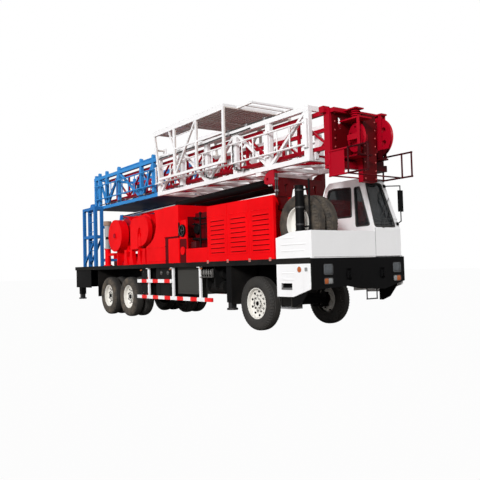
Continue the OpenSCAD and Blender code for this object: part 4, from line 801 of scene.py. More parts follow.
@dataclass
class Studio:
    """Pale floor, soft light and the photograph's camera."""

    place: Place
    camera_at: Point = (16.793, -8.644, 1.323)
    look: Point = (-0.81467, 0.57825, 0.04400)
    up: Point = (0.05115, -0.00393, 0.99868)
    focal_px: float = 610.33
    frame_px: float = 480.0
    sensor: float = 36.0
    clip_end: float = 400.0
    sky: float = 0.55
    floor_half: float = 90.0
    floor_colour: Colour = (0.26, 0.24, 0.22)
    floor_glow: float = 0.97
    suns: tuple[tuple[str, float, float, Point], ...] = (
        ("soft_sun", 2.4, 0.22, (5.4, -8.0, 3.8)),
        ("near_fill", 0.75, 0.9, (2.6, -9.0, 1.0)),
        ("far_fill", 0.35, 1.2, (-4.0, 8.0, 5.0)),
    )

    def camera(self) -> None:
        """Sets the camera where the photograph was taken from."""
        data = bpy.data.cameras.new("photo_camera")
        data.sensor_fit = "HORIZONTAL"
        data.sensor_width = self.sensor
        data.lens = self.sensor * self.focal_px / self.frame_px
        data.clip_end = self.clip_end
        camera = bpy.data.objects.new("photo_camera", data)
        look = Vector(self.look).normalized()
        up = (Vector(self.up) - look * Vector(self.up).dot(look)).normalized()
        axes = Matrix((look.cross(up), up, -look)).transposed().to_4x4()
        camera.matrix_world = Matrix.Translation(self.place.at(*self.camera_at)) @ axes
        bpy.context.scene.collection.objects.link(camera)
        bpy.context.scene.camera = camera

    def seen_white(self, tree: bpy.types.NodeTree) -> Socket:
        """1 for rays that show the background: camera rays and those that come through glass."""
        path = tree.nodes.new("ShaderNodeLightPath")
        either = tree.nodes.new("ShaderNodeMath")
        either.operation = "MAXIMUM"
        tree.links.new(path.outputs["Is Camera Ray"], either.inputs[0])
        tree.links.new(path.outputs["Is Transmission Ray"], either.inputs[1])
        return either.outputs["Value"]

    def blend(self, tree: bpy.types.NodeTree, shaders: tuple[Socket, Socket], share: Socket,
              target: Socket) -> None:
        """Leads two shaders to target.

        Args:
            tree: the node tree.
            shaders: the one that shows where share is 0, and the one that shows where it is 1.
            share: the part that the second one takes.
            target: the output's socket.
        """
        mix = tree.nodes.new("ShaderNodeMixShader")
        tree.links.new(share, mix.inputs["Fac"])
        tree.links.new(shaders[0], mix.inputs[1])
        tree.links.new(shaders[1], mix.inputs[2])
        tree.links.new(mix.outputs["Shader"], target)

    def world(self) -> None:
        """A surround that lights softly and shows as plain white."""
        world = bpy.data.worlds.new("studio_surround")
        bpy.context.scene.world = world
        world.use_nodes = True
        tree = world.node_tree
        light, shown = tree.nodes["Background"], tree.nodes.new("ShaderNodeBackground")
        for node, strength in ((light, self.sky), (shown, 1.0)):
            node.inputs["Color"].default_value = PLAIN_WHITE
            node.inputs["Strength"].default_value = strength
        self.blend(tree, (light.outputs["Background"], shown.outputs["Background"]), self.seen_white(tree),
                   tree.nodes["World Output"].inputs["Surface"])

    def floor(self) -> None:
        """A floor that shows nearly white and keeps a faint shadow of the rig."""
        s = self.floor_half
        mesh = bpy.data.meshes.new("studio_floor")
        mesh.from_pydata([(-s, -s, 0), (s, -s, 0), (s, s, 0), (-s, s, 0)], [], [(0, 1, 2, 3)])
        material = bpy.data.materials.new("studio_floor_white")
        material.use_nodes = True
        tree = material.node_tree
        shader = tree.nodes["Principled BSDF"]
        shader.inputs["Base Color"].default_value = (*self.floor_colour, 1.0)
        shader.inputs["Roughness"].default_value = 0.9
        shader.inputs["Specular IOR Level"].default_value = 0.1
        glow = tree.nodes.new("ShaderNodeEmission")
        glow.inputs["Color"].default_value = PLAIN_WHITE
        part = tree.nodes.new("ShaderNodeMath")
        part.operation = "MULTIPLY"
        part.inputs[1].default_value = self.floor_glow
        tree.links.new(self.seen_white(tree), part.inputs[0])
        self.blend(tree, (shader.outputs["BSDF"], glow.outputs["Emission"]), part.outputs["Value"],
                   tree.nodes["Material Output"].inputs["Surface"])
        mesh.materials.append(material)
        floor = bpy.data.objects.new("studio_floor", mesh)
        bpy.context.scene.collection.objects.link(floor)

    def lights(self) -> None:
        """A soft sun from over the photographer's left shoulder, a low fill near it, and a weak far one."""
        for name, strength, angle, source in self.suns:
            data = bpy.data.lights.new(name, "SUN")
            data.energy = strength
            data.angle = angle
            lamp = bpy.data.objects.new(name, data)
            lamp.rotation_euler = Vector(source).to_track_quat("Z", "Y").to_euler()
            bpy.context.scene.collection.objects.link(lamp)

    def build(self) -> None:
        """Builds the whole studio."""
        bpy.context.scene.view_settings.view_transform = "Standard"
        self.camera()
        self.world()
        self.floor()
        self.lights()
        log.info("studio ready")


@dataclass
class Tyres:
    """Road tyres with a ribbed tread and shoulder lugs, one or two in a node."""

    nodes: dict[str, tuple[str, int]]
    width: float = 0.29
    rim_lap: float = 0.022
    lugs: int = 52
    steps: int = 6
    section: int = 72
    side_power: float = 0.62
    crown_power: float = 0.72
    groove: float = 0.013
    groove_reach: float = 0.008
    groove_edge: float = 0.005
    tread_cos: float = 0.35
    lug_depth: float = 0.016
    slot_share: float = 0.4
    shoulder_y: float = 0.090
    shoulder_deep: float = 0.055
    least_cut: float = 0.25
    side_cut: float = 0.35
    rib_ys: tuple[float, ...] = (-0.062, -0.021, 0.021, 0.062)

    def surface(self, outer: float, inner: float) -> np.ndarray:
        """Points of one tyre about its own centre, axis along Y.

        The section is a rounded square: with t round the section, y = w/2 * sign(sin t) * |sin t| ** 0.62 and
        r = middle + half * sign(cos t) * |cos t| ** 0.72. The tread, where cos t is over tread_cos, is cut by
        four grooves. Their walls lean over groove_edge and end at groove_reach from a rib line. Each shoulder
        is cut by slots over slot_share of a lug's pitch, in a band that ends on the side wall. A cut goes
        inwards by cos t, though least_cut of it at least, and in from the side by side_cut of it.

        Args:
            outer: radius of the tread.
            inner: radius of the bead.

        Returns:
            An array of steps round the tyre, points round the section, and X, Y and Z.
        """
        t = np.linspace(-math.pi, math.pi, self.section, endpoint=False)
        y = self.width / 2 * np.sign(np.sin(t)) * np.abs(np.sin(t)) ** self.side_power
        half = (outer - inner) / 2
        r = (outer + inner) / 2 + half * np.sign(np.cos(t)) * np.abs(np.cos(t)) ** self.crown_power
        tread = (np.cos(t) > self.tread_cos).astype(float)
        grooves = np.zeros_like(y)
        for rib in self.rib_ys:
            groove = np.clip((self.groove_reach - np.abs(y - rib)) / self.groove_edge, 0.0, 1.0)
            grooves = np.maximum(grooves, groove)
        shoulder = ((np.abs(y) > self.shoulder_y) & (r > outer - self.shoulder_deep)).astype(float)
        around = np.arange(self.lugs * self.steps)
        angle = around * 2 * math.pi / len(around)
        slot = (around % self.steps < self.slot_share * self.steps).astype(float)
        cut = np.outer(np.ones_like(angle), self.groove * grooves * tread)
        cut = np.maximum(cut, np.outer(slot, self.lug_depth * shoulder))
        radius = r[None, :] - cut * np.maximum(np.cos(t), self.least_cut)[None, :]
        side = y[None, :] - np.sign(y)[None, :] * cut * self.side_cut
        return np.stack([radius * np.cos(angle)[:, None], np.broadcast_to(side, radius.shape),
                         radius * np.sin(angle)[:, None]], -1)

    def build(self, body_of: dict[str, str]) -> None:
        """Builds each tyre node's tyres in its own box, and lets them stand for it.

        Args:
            body_of: the body that carries each node.
        """
        for node, (rim, number) in self.nodes.items():
            low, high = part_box(node)
            rim_low, rim_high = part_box(rim)
            points = self.surface((high.z - low.z) / 2, (rim_high.z - rim_low.z) / 2 - self.rim_lap)
            quads = grid_quads(points.shape[0], points.shape[1], True, True).tolist()
            middle = (low + high) / 2
            gap = (high.y - low.y) - self.width
            form = Form(node + "_treaded")
            for i in range(number):
                y = middle.y + (i - (number - 1) / 2) * gap
                form.add(points.reshape(-1, 3) + (middle.x, y, middle.z), quads)
            finish = TYRE_RUBBER if node == "spare_tyres" else ROAD_RUBBER
            form.make([finish], body_of[node], "tyre_rubber", [node], smooth=32.0)


@dataclass
class WheelTrim:
    """Nuts, hub rings and hand holes of the road wheels, which turn with them. The hand holes are dark discs
    of painted shade.
    """

    wheels: dict[str, tuple[str, int]]
    tyre_half: float = 0.145
    rim_half: float = 0.107
    dishes: dict[int, float] = field(default_factory=lambda: {1: 0.090, 2: 0.120})
    nuts: int = 10
    nut_circle: float = 0.170
    hub_bolts: int = 8
    hub_circle: float = 0.098
    holes_circle: float = 0.250
    hub_ring: tuple[Pair, ...] = ((0.118, 0.058), (0.124, 0.061), (0.124, 0.066), (0.118, 0.069))

    def build(self, body_of: dict[str, str]) -> None:
        """Builds the trim of every road wheel, on its outer face.

        Args:
            body_of: the body that carries each node.
        """
        for node, (_, number) in self.wheels.items():
            if node == "spare_tyres":
                continue
            low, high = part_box(node)
            out = 1 if high.y > -low.y else -1
            centre = ((low.x + high.x) / 2, (high.y if out > 0 else low.y) - out * self.tyre_half,
                      (low.z + high.z) / 2)
            face = self.rim_half - self.dishes[number]

            def at(x: float, z: float, height: float) -> Point:
                """A point above the wheel's dished face."""
                return (centre[0] + x, centre[1] + out * (face + height), centre[2] + z)

            form = Form(node.replace("tyre", "wheel") + "_trim")
            for x, z in circle(self.nuts, self.nut_circle):
                form.nut(at(x, z, 0.016), 0.0215, 0.036, Turn.Y)
            for x, z in circle(self.hub_bolts, self.hub_circle, 0.5):
                form.nut(at(x, z, 0.064), 0.010, 0.014, Turn.Y)
            # Hand holes drawn as dark discs on the face: painted shade in place of holes.
            form.tag = 1
            for x, z in circle(self.nuts, self.holes_circle, 0.5):
                form.cylinder(at(x, z, 0.010), 0.026, 0.020, Turn.Y, 18)
            form.tag = 2
            profile = [(radius, out * height) for radius, height in self.hub_ring[::out]]
            form.turned(at(0.0, 0.0, 0.0), profile, Turn.Y, 32, True)
            form.make([WORN_FITTING, BLACK_AND_PAINTED_SHADE, CAST_IRON], body_of[node], "grey_steel")


@dataclass
class Coats:
    """Finishes of the nodes that keep their own shape."""

    finishes: dict[str, Finish]

    def build(self, nodes: dict[str, bpy.types.Object]) -> None:
        """Gives each node its finish.

        Args:
            nodes: the frame's objects by name.
        """
        for name, obj in nodes.items():
            finish = self.finishes.get(name)
            if finish is None:
                continue
            for slot in obj.material_slots:
                slot.material = finish.material()
            log.info("%s: %s", name, finish.name)


@dataclass
class Assembly:
    """A group of small pieces, given in metres from the middle of the rear tandem."""

    place: Place

    def form(self, name: str) -> Form:
        """An empty form whose points are moved into the row frame."""
        return Form(name, self.place.x)

    def build(self) -> None:
        """Builds the pieces."""
        raise NotImplementedError


@dataclass
class Louvres(Assembly):
    """Pressed hoods over the slots of the engine housing, with dark backs behind the slots as painted shade,
    and a bead round each panel.
    """

    panels: int = 3
    first_x: float = 5.230
    pitch_x: float = 0.79
    width: float = 0.56
    first_z: float = 1.64
    pitch_z: float = 0.10
    rows: int = 8
    wall_y: float = 1.25
    proud: float = 0.009
    lap: float = 0.006
    lip_top: float = 0.046
    lip_high: float = 0.030
    back_y: Range = (1.2252, 1.2285)
    back_high: float = 0.027
    bead_z: Range = (1.60, 2.46)
    bead_away: float = 0.05
    bead_corner: float = 0.05
    bead: float = 0.006

    def hood(self, form: Form, x: float, z: float, side: Side) -> None:
        """Adds one hood: a curved lip along the slot's upper edge, pulled in at both ends.

        With u along the slot from 0 to 1 and t down the lip, the lip stands out by
        proud * sin(pi t / 2) * (1 - |2 u - 1| ** 8).

        Args:
            form: where the hood goes.
            x: where the slot starts.
            z: height of its lower edge.
            side: the side of the rig.
        """
        u = np.linspace(0.0, 1.0, 17)[:, None]
        t = np.linspace(0.0, 1.0, 5)[None, :]
        out = self.proud * np.sin(math.pi / 2 * t) * (1 - np.abs(2 * u - 1) ** 8)
        xs = np.broadcast_to(x - self.lap + u * (self.width + 2 * self.lap), out.shape)
        zs = np.broadcast_to(z + self.lip_top - self.lip_high * t, out.shape)
        front = np.stack([xs, side.value * (self.wall_y - 0.001 + out), zs], -1)
        back = np.stack([xs, side.value * (self.wall_y - 0.004 + out), zs - 0.001], -1)
        form.sweep(np.concatenate([front, back[:, ::-1]], axis=1))

    def build(self) -> None:
        """Builds hoods, backs and the beads round the panels."""
        hoods, backs = self.form("housing_louvre_hoods"), self.form("housing_louvre_painted_shade")
        for side in Side:
            for x in [self.first_x + i * self.pitch_x for i in range(self.panels)]:
                for z in [self.first_z + j * self.pitch_z for j in range(self.rows)]:
                    self.hood(hoods, x, z, side)
                    # A dark sheet behind each slot is painted shade of the housing's inside.
                    backs.box((x + 0.001, side.value * self.back_y[0], z + 0.001),
                              (x + self.width - 0.001, side.value * self.back_y[1], z + self.back_high))
                start, end = x - self.bead_away, x + self.width + self.bead_away
                low, high = self.bead_z
                corners = [(start, 0, low), (end, 0, low), (end, 0, high), (start, 0, high)]
                edge = rounded(corners, self.bead_corner)
                edge[:, 1] = side.value * self.wall_y
                hoods.loop(edge, (0.0, 1.0, 0.0), self.bead)
        hoods.make([RED_PAINT], "carrier", "red_paint", smooth=35.0)
        backs.make([BLACK_AND_PAINTED_SHADE], "carrier", "black_paint")


@dataclass
class DeckTrim(Assembly):
    """Bolted brackets and marker lamps along the deck's edge."""

    bracket_xs: tuple[float, ...] = (5.1, 5.9, 6.7, 7.38)
    bracket_half: float = 0.035
    bracket_y: Range = (1.25, 1.256)
    bracket_z: Range = (1.42, 1.49)
    bolt_out: float = 0.018
    lamp_xs: tuple[float, ...] = (1.62, 3.25, 4.72)
    lamp_long: float = 0.09
    lamp_y: Range = (1.228, 1.243)
    lamp_z: Range = (1.29, 1.325)

    def build(self) -> None:
        """Builds the brackets under the housing and the amber marker lamps."""
        brackets, lamps = self.form("deck_brackets"), self.form("side_marker_lamps")
        for side in Side:
            for x in self.bracket_xs:
                start, end = x - self.bracket_half, x + self.bracket_half
                brackets.box((start, side.value * self.bracket_y[0], self.bracket_z[0]),
                             (end, side.value * self.bracket_y[1], self.bracket_z[1]), 0.003)
                for bolt_x in (x - self.bolt_out, x + self.bolt_out):
                    brackets.nut((bolt_x, side.value * 1.258, sum(self.bracket_z) / 2), 0.011, 0.008, Turn.Y)
            for x in self.lamp_xs:
                lamps.box((x, side.value * self.lamp_y[0], self.lamp_z[0]),
                          (x + self.lamp_long, side.value * self.lamp_y[1], self.lamp_z[1]), 0.006)
        brackets.make([BRACKET_PAINT], "carrier", "red_paint")
        lamps.make([AMBER_LENS], "carrier", "lamp_glass")


@dataclass
class Lamps(Assembly):
    """Headlamps and indicators on the nose, in place of the frame's plain blocks."""

    headlamps: tuple[float, ...] = (-0.865, 1.015)
    nose_x: float = 8.594
    head_half: float = 0.105
    head_z: Range = (1.145, 1.325)
    small_half: float = 0.050
    small_out: float = 0.052
    small_z: Range = (0.974, 1.071)
    pair_half: float = 0.108
    bezel_away: float = 0.007
    bars: int = 9
    bar_pitch: float = 0.021
    bar_half: float = 0.0025
    back_x: float = 0.0005
    across: int = 13
    upward: int = 9

    def bezel(self, form: Form, y: float, half: float, z: Range) -> None:
        """Adds a rounded rim about a lamp.

        Args:
            form: where the rim goes.
            y: the lamp's middle.
            half: half its width.
            z: where it starts and ends.
        """
        x = self.nose_x + 0.010
        start, end = y - half, y + half
        low, high = z[0] - self.bezel_away, z[1] + self.bezel_away
        ring = rounded([(x, start, low), (x, end, low), (x, end, high), (x, start, high)], 0.03)
        form.loop(ring, (1.0, 0.0, 0.0), 0.0075)

    def face(self, form: Form, y: float, half: float, z: Range, top: float) -> None:
        """Adds a domed glass, top * (1 - 0.35 (a^4 + b^4)) above the nose, a and b from -1 to 1.

        Args:
            form: where the glass goes.
            y: the lamp's middle.
            half: half its width.
            z: where it starts and ends.
            top: how far its middle stands out.
        """
        rows, cols = self.across, self.upward
        a = np.linspace(-1.0, 1.0, rows)[:, None]
        b = np.linspace(-1.0, 1.0, cols)[None, :]
        x = self.nose_x + top * (1 - 0.35 * (a ** 4 + b ** 4))
        height = (z[0] + z[1]) / 2 + (z[1] - z[0]) / 2 * b
        front = np.stack([x, np.broadcast_to(y + half * a, x.shape), np.broadcast_to(height, x.shape)], -1)
        front = front.reshape(-1, 3)
        back = front.copy()
        back[:, 0] = self.nose_x + self.back_x
        number = rows * cols
        quads = grid_quads(rows, cols, False, False)
        rim = [i * cols for i in range(rows)] + [(rows - 1) * cols + j for j in range(1, cols)]
        rim += [i * cols + cols - 1 for i in range(rows - 2, -1, -1)] + list(range(cols - 2, 0, -1))
        faces = quads.tolist() + (quads[:, ::-1] + number).tolist()
        faces += [[i, j, j + number, i + number] for i, j in zip(rim, rim[1:] + rim[:1])]
        form.add_closed(np.vstack([front, back]), faces)

    def build(self) -> None:
        """Builds headlamps with their bars, indicators, and the small lamps on the nose's side."""
        glass, rims = self.form("headlamps_and_indicators"), self.form("headlamp_rims")
        for y in self.headlamps:
            self.face(glass, y, self.head_half, self.head_z, 0.020)
            self.bezel(rims, y, self.head_half + self.bezel_away, self.head_z)
            out = math.copysign(self.small_out, y)
            glass.tag = 1
            self.face(glass, y + out, self.small_half, self.small_z, 0.016)
            glass.tag = 2
            self.face(glass, y - out, self.small_half, self.small_z, 0.016)
            glass.tag = 0
            self.bezel(rims, y, self.pair_half, self.small_z)
            for k in range(self.bars):
                bar_y = y + (k - (self.bars - 1) / 2) * self.bar_pitch
                rims.box((self.nose_x + 0.014, bar_y - self.bar_half, self.head_z[0] + 0.010),
                         (self.nose_x + 0.022, bar_y + self.bar_half, self.head_z[1] - 0.010))
        glass.make([GRILLE_LENS, AMBER_LENS, CLEAR_LENS], "carrier", "lamp_glass", ["lamps"])
        rims.make([BLACK_PLASTIC], "carrier", "black_plastic")
        small = self.form("nose_side_lamps")
        small.cylinder((8.238, -1.252, 1.245), 0.055, 0.016, Turn.Y, 24, 0.004)
        small.tag = 1
        small.box((8.395, -1.250, 1.210), (8.465, -1.262, 1.280), 0.004)
        small.make([AMBER_LENS, CLEAR_LENS], "carrier", "lamp_glass")


@dataclass
class CabTrim(Assembly):
    """Window rubbers, visor, wiper, mirror glass and door handle of the half-width cab."""

    inner_y: float = 0.42
    outer_y: float = 1.17
    waist: float = 2.010
    lean: float = 0.19 / 1.03
    screen_low: Pair = (8.580, 2.053)
    screen_high: Pair = (8.369, 2.930)
    screen_normal: Point = (0.9722, 0.0, 0.2339)
    back_window_y: Range = (0.57, 0.98)
    back_window_z: Range = (2.20, 2.64)
    visor_y: float = 0.43
    visor_wide: float = 0.44
    visor_bow: float = 0.018
    rear: tuple[Pair, ...] = ((7.284, 2.290), (7.974, 2.285), (7.979, 2.875), (7.474, 2.905), (7.334, 2.880),
                               (7.284, 2.720))
    quarter: tuple[Pair, ...] = ((8.104, 2.080), (8.459, 2.087), (8.221, 2.870), (8.087, 2.865))
    door: tuple[Pair, ...] = ((7.534, 2.120), (8.174, 2.120), (8.174, 2.880), (7.614, 2.880), (7.534, 2.750))

    def lean_y(self, z: float) -> float:
        """Y of the outer wall, which leans in by 0.19 m over 1.03 m above the waist."""
        return self.outer_y - self.lean * max(0.0, z - self.waist)

    def screen(self, y: float, z: float) -> Point:
        """A point of the windscreen's outer face, straight between its lower and upper edges."""
        (low_x, low_z), (high_x, high_z) = self.screen_low, self.screen_high
        return (low_x + (high_x - low_x) * (z - low_z) / (high_z - low_z), y, z)

    def seals(self) -> None:
        """Builds the rubbers round the fixed windows and the windscreen."""
        form = self.form("cab_window_rubbers")
        for outline in (self.rear, self.quarter):
            path = rounded([(x, self.inner_y, z) for x, z in outline], 0.035)
            form.loop(path, (0.0, 1.0, 0.0), 0.017)
        low, high = self.screen_low[1], self.screen_high[1]
        path = rounded([self.screen(0.445, low), self.screen(1.02, low), self.screen(0.872, high),
                        self.screen(0.445, high)], 0.05)
        path[:, 0] += 0.004
        form.loop(path, self.screen_normal, 0.018)
        (y0, y1), (z0, z1), x = self.back_window_y, self.back_window_z, 7.176
        path = rounded([(x, y0, z0), (x, y1, z0), (x, y1, z1), (x, y0, z1)], 0.04)
        form.loop(path, (1.0, 0.0, 0.0), 0.010)
        form.make([TRIM_RUBBER], "carrier", "black_plastic")

    def door_glass(self) -> None:
        """Builds the door's glass, its rubber and its handle, which swing with the door."""
        glass = self.form("cab_door_glass")
        pane = np.array([(x, self.lean_y(z), z) for x, z in rounded(self.door, 0.03)])
        glass.sweep(np.array([pane - (0.0, depth, 0.0) for depth in (0.030, 0.024)]))
        glass.make([CAB_GLASS], "door", "window_glass")
        rubber = self.form("cab_door_rubber")
        path = np.array([(x, self.lean_y(z) - 0.001, z) for x, z in rounded(self.door, 0.04)])
        length = math.hypot(1.0, self.lean)
        rubber.loop(path, (0.0, 1.0 / length, self.lean / length), 0.017)
        for z in (1.86, 1.90):
            rubber.box((7.52, self.outer_y + 0.001, z - 0.009),
                       (7.66, self.outer_y + 0.022, z + 0.009), 0.004)
        rubber.make([TRIM_RUBBER], "door", "black_plastic")

    def visor(self) -> None:
        """Builds the visor: one section carried across the cab, bowed out by visor_bow * sin(pi u)."""
        form = self.form("cab_visor")
        rows = []
        for u in np.linspace(0.0, 1.0, 15):
            y = self.visor_y + self.visor_wide * u
            bow = self.visor_bow * math.sin(math.pi * u)
            rows.append([(8.345, y, 3.012), (8.455 + bow, y, 2.985), (8.485 + bow, y, 2.955),
                         (8.475 + bow, y, 2.948), (8.445 + bow, y, 2.974), (8.345, y, 3.002)])
        form.sweep(np.array(rows))
        form.make([VISOR_PLASTIC], "carrier", "black_plastic")

    def wiper(self) -> None:
        """Builds the wiper's arm, pivot and blade, and two thin bars before the windscreen's foot."""
        form = self.form("cab_wiper")
        low = np.array(self.screen(0.66, 2.045)) + (0.030, 0, 0)
        high = np.array(self.screen(0.93, 2.44)) + (0.030, 0, 0)
        form.rod(low, high, 0.006)
        form.cylinder(low - (0.012, 0, 0), 0.020, 0.034, Turn.X, 14, 0.004)
        blade = [np.array(self.screen(y, z)) + (0.017, 0, 0) for y, z in ((0.73, 2.30), (1.01, 2.64))]
        form.rod(blade[0], blade[1], 0.007)
        for z in (2.12, 2.20):
            form.box((8.600, 0.44, z), (8.603, 1.08, z + 0.006))
        form.make([BLACK_PLASTIC], "carrier", "black_plastic")

    def mirror(self) -> None:
        """Builds the mirror's glass."""
        form = self.form("wing_mirror_glass")
        form.box((8.6505, 1.058, 2.36), (8.6535, 1.162, 2.77), 0.001)
        form.make([MIRROR], "carrier", "window_glass")

    def build(self) -> None:
        """Builds all trims."""
        self.seals()
        self.door_glass()
        self.visor()
        self.wiper()
        self.mirror()


@dataclass
class CabInside(Assembly):
    """Driver's seat, dash and steering wheel, in place of the frame's plain cab inside."""

    seat_x: float = 7.404
    seat_y: float = 0.765
    floor_z: float = 1.4903
    cushion_half: float = 0.24
    back_half: float = 0.23
    seams: int = 4
    crown: float = 0.3
    rows: int = 41
    around: int = 80
    wheel_x: float = 8.034
    wheel_high: float = 0.64
    wheel_radius: float = 0.2
    wheel_tilt: float = -30.0
    spokes: int = 3
    column: float = 0.49

    def cushion(self, name: str, low: Point, high: Point, across: int) -> None:
        """Makes a cushion inside a box, as a swollen form with sewn channels.

        With a, b and c from -1 to 1 through the box, a point of the surface lies on the rounded box
        |a|^6 + |b|^6 + |c|^6 = 1. Its thickness is eased by crown away from the middle, and by a tenth
        along sewn channels, |cos(pi seams v)| ** 20 deep, v from 0 to 1 along the second other axis.

        Args:
            name: the piece's name.
            low: the box's lower corner.
            high: its upper corner.
            across: the axis of the cushion's thickness, 0 for X and 2 for Z.
        """
        low, high = np.array(low), np.array(high)
        t = np.linspace(-math.pi / 2, math.pi / 2, self.rows)[:, None]
        ring = circle(self.around)
        unit = np.stack([np.cos(t) * ring[:, 0], np.cos(t) * ring[:, 1],
                         np.broadcast_to(np.sin(t), (self.rows, self.around))], -1)
        unit /= (np.abs(unit) ** 6).sum(-1, keepdims=True) ** (1 / 6)
        first, second = [axis for axis in range(3) if axis != across]
        flat = (unit[..., first] ** 2 + unit[..., second] ** 2) / 2
        channel = np.abs(np.cos(math.pi * self.seams / 2 * (unit[..., second] + 1))) ** 20
        unit[..., across] *= 1 - self.crown * flat - 0.10 * channel * (np.abs(unit[..., across]) > 0.5)
        form = self.form(name)
        form.add_closed((low + high) / 2 + unit * (high - low) / 2,
                        grid_quads(self.rows, self.around, False, True).tolist())
        piece = form.make([SEAT_CLOTH], "carrier", "cab_plastic")

    def wheel(self, form: Form) -> None:
        """Adds the steering wheel, its spokes and its column, all turned about Y by wheel_tilt degrees."""
        centre = np.array((self.wheel_x, self.seat_y, self.floor_z + self.wheel_high))
        tilt = np.array(Matrix.Rotation(math.radians(self.wheel_tilt), 3, "Y"))

        def at(x: float, y: float, z: float) -> np.ndarray:
            """A point given on the wheel's own plane and above it."""
            return centre + tilt @ (x, y, z)

        form.loop(np.array([at(x, y, 0.0) for x, y in circle(48, self.wheel_radius)]), tilt[:, 2], 0.013, 12)
        for x, y in circle(self.spokes, self.wheel_radius - 0.002):
            form.rod(centre, at(x, y, 0.0), 0.011)
        form.rod(at(0.0, 0.0, 0.012), at(0.0, 0.0, -self.column), 0.024)

    def build(self) -> None:
        """Builds the inside."""
        x, y, z = self.seat_x, self.seat_y, self.floor_z
        half = self.cushion_half
        self.cushion("driver_seat_cushion", (x + 0.02, y - half, z + 0.29), (x + 0.48, y + half, z + 0.42), 2)
        half = self.back_half
        self.cushion("driver_seat_back", (x, y - half, z + 0.40), (x + 0.13, y + half, z + 1.00), 0)
        form = self.form("cab_controls")
        form.box((x + 0.06, y - 0.13, z), (x + 0.38, y + 0.13, z + 0.28), 0.02)
        form.box((x + 0.02, y - 0.20, z + 0.27), (x + 0.46, y + 0.20, z + 0.30), 0.012)
        dash = [(8.300, 0.02), (8.532, 0.02), (8.532, 0.42), (8.500, 0.455), (8.330, 0.455), (8.266, 0.41),
                (8.266, 0.30), (8.300, 0.24)]
        form.prism([(z + high, along) for along, high in dash], Turn.Y, 0.475, 1.115)
        self.wheel(form)
        form.make([CAB_PLASTIC], "carrier", "cab_plastic", ["cab_interior"])
        dials = self.form("cab_dials")
        for dial_y in (y - 0.18, y - 0.06, y + 0.06, y + 0.18):
            dials.cylinder((8.268, dial_y, z + 0.365), 0.042, 0.010, Turn.X, 24, 0.003)
        dials.make([CLEAR_LENS], "carrier", "lamp_glass")


@dataclass
class DrumRope(Assembly):
    """Wire rope wound on the winch drum, and the bolts of its flanges."""

    axis_x: float = -0.100
    axis_z: float = 2.340
    half: float = 0.770
    radius: float = 0.243
    inner: float = 0.232
    rope: float = 0.026
    bolts: int = 12
    bolt_circle: float = 0.36
    bolt_y: float = 0.822

    def build(self) -> None:
        """Builds the wound layer, a sleeve of radius + rope / 2 * |sin(pi y / rope)|, and the bolts."""
        sleeve = self.form("drum_rope")
        ys = np.arange(-self.half, self.half, self.rope / 6)
        r = self.radius + self.rope / 2 * np.abs(np.sin(math.pi * ys / self.rope))
        profile = list(zip(r, ys)) + [(self.inner, ys[-1]), (self.inner, ys[0])]
        sleeve.turned((self.axis_x, 0.0, self.axis_z), profile, Turn.Y, 40, True)
        sleeve.make([ROPE_STEEL], "winch_drum", "grey_steel")
        form = self.form("drum_bolts")
        for side in Side:
            for x, z in circle(self.bolts, self.bolt_circle):
                form.nut((self.axis_x + x, side.value * self.bolt_y, self.axis_z + z), 0.018, 0.014, Turn.Y)
        form.make([CAST_IRON], "winch_drum", "cast_iron")


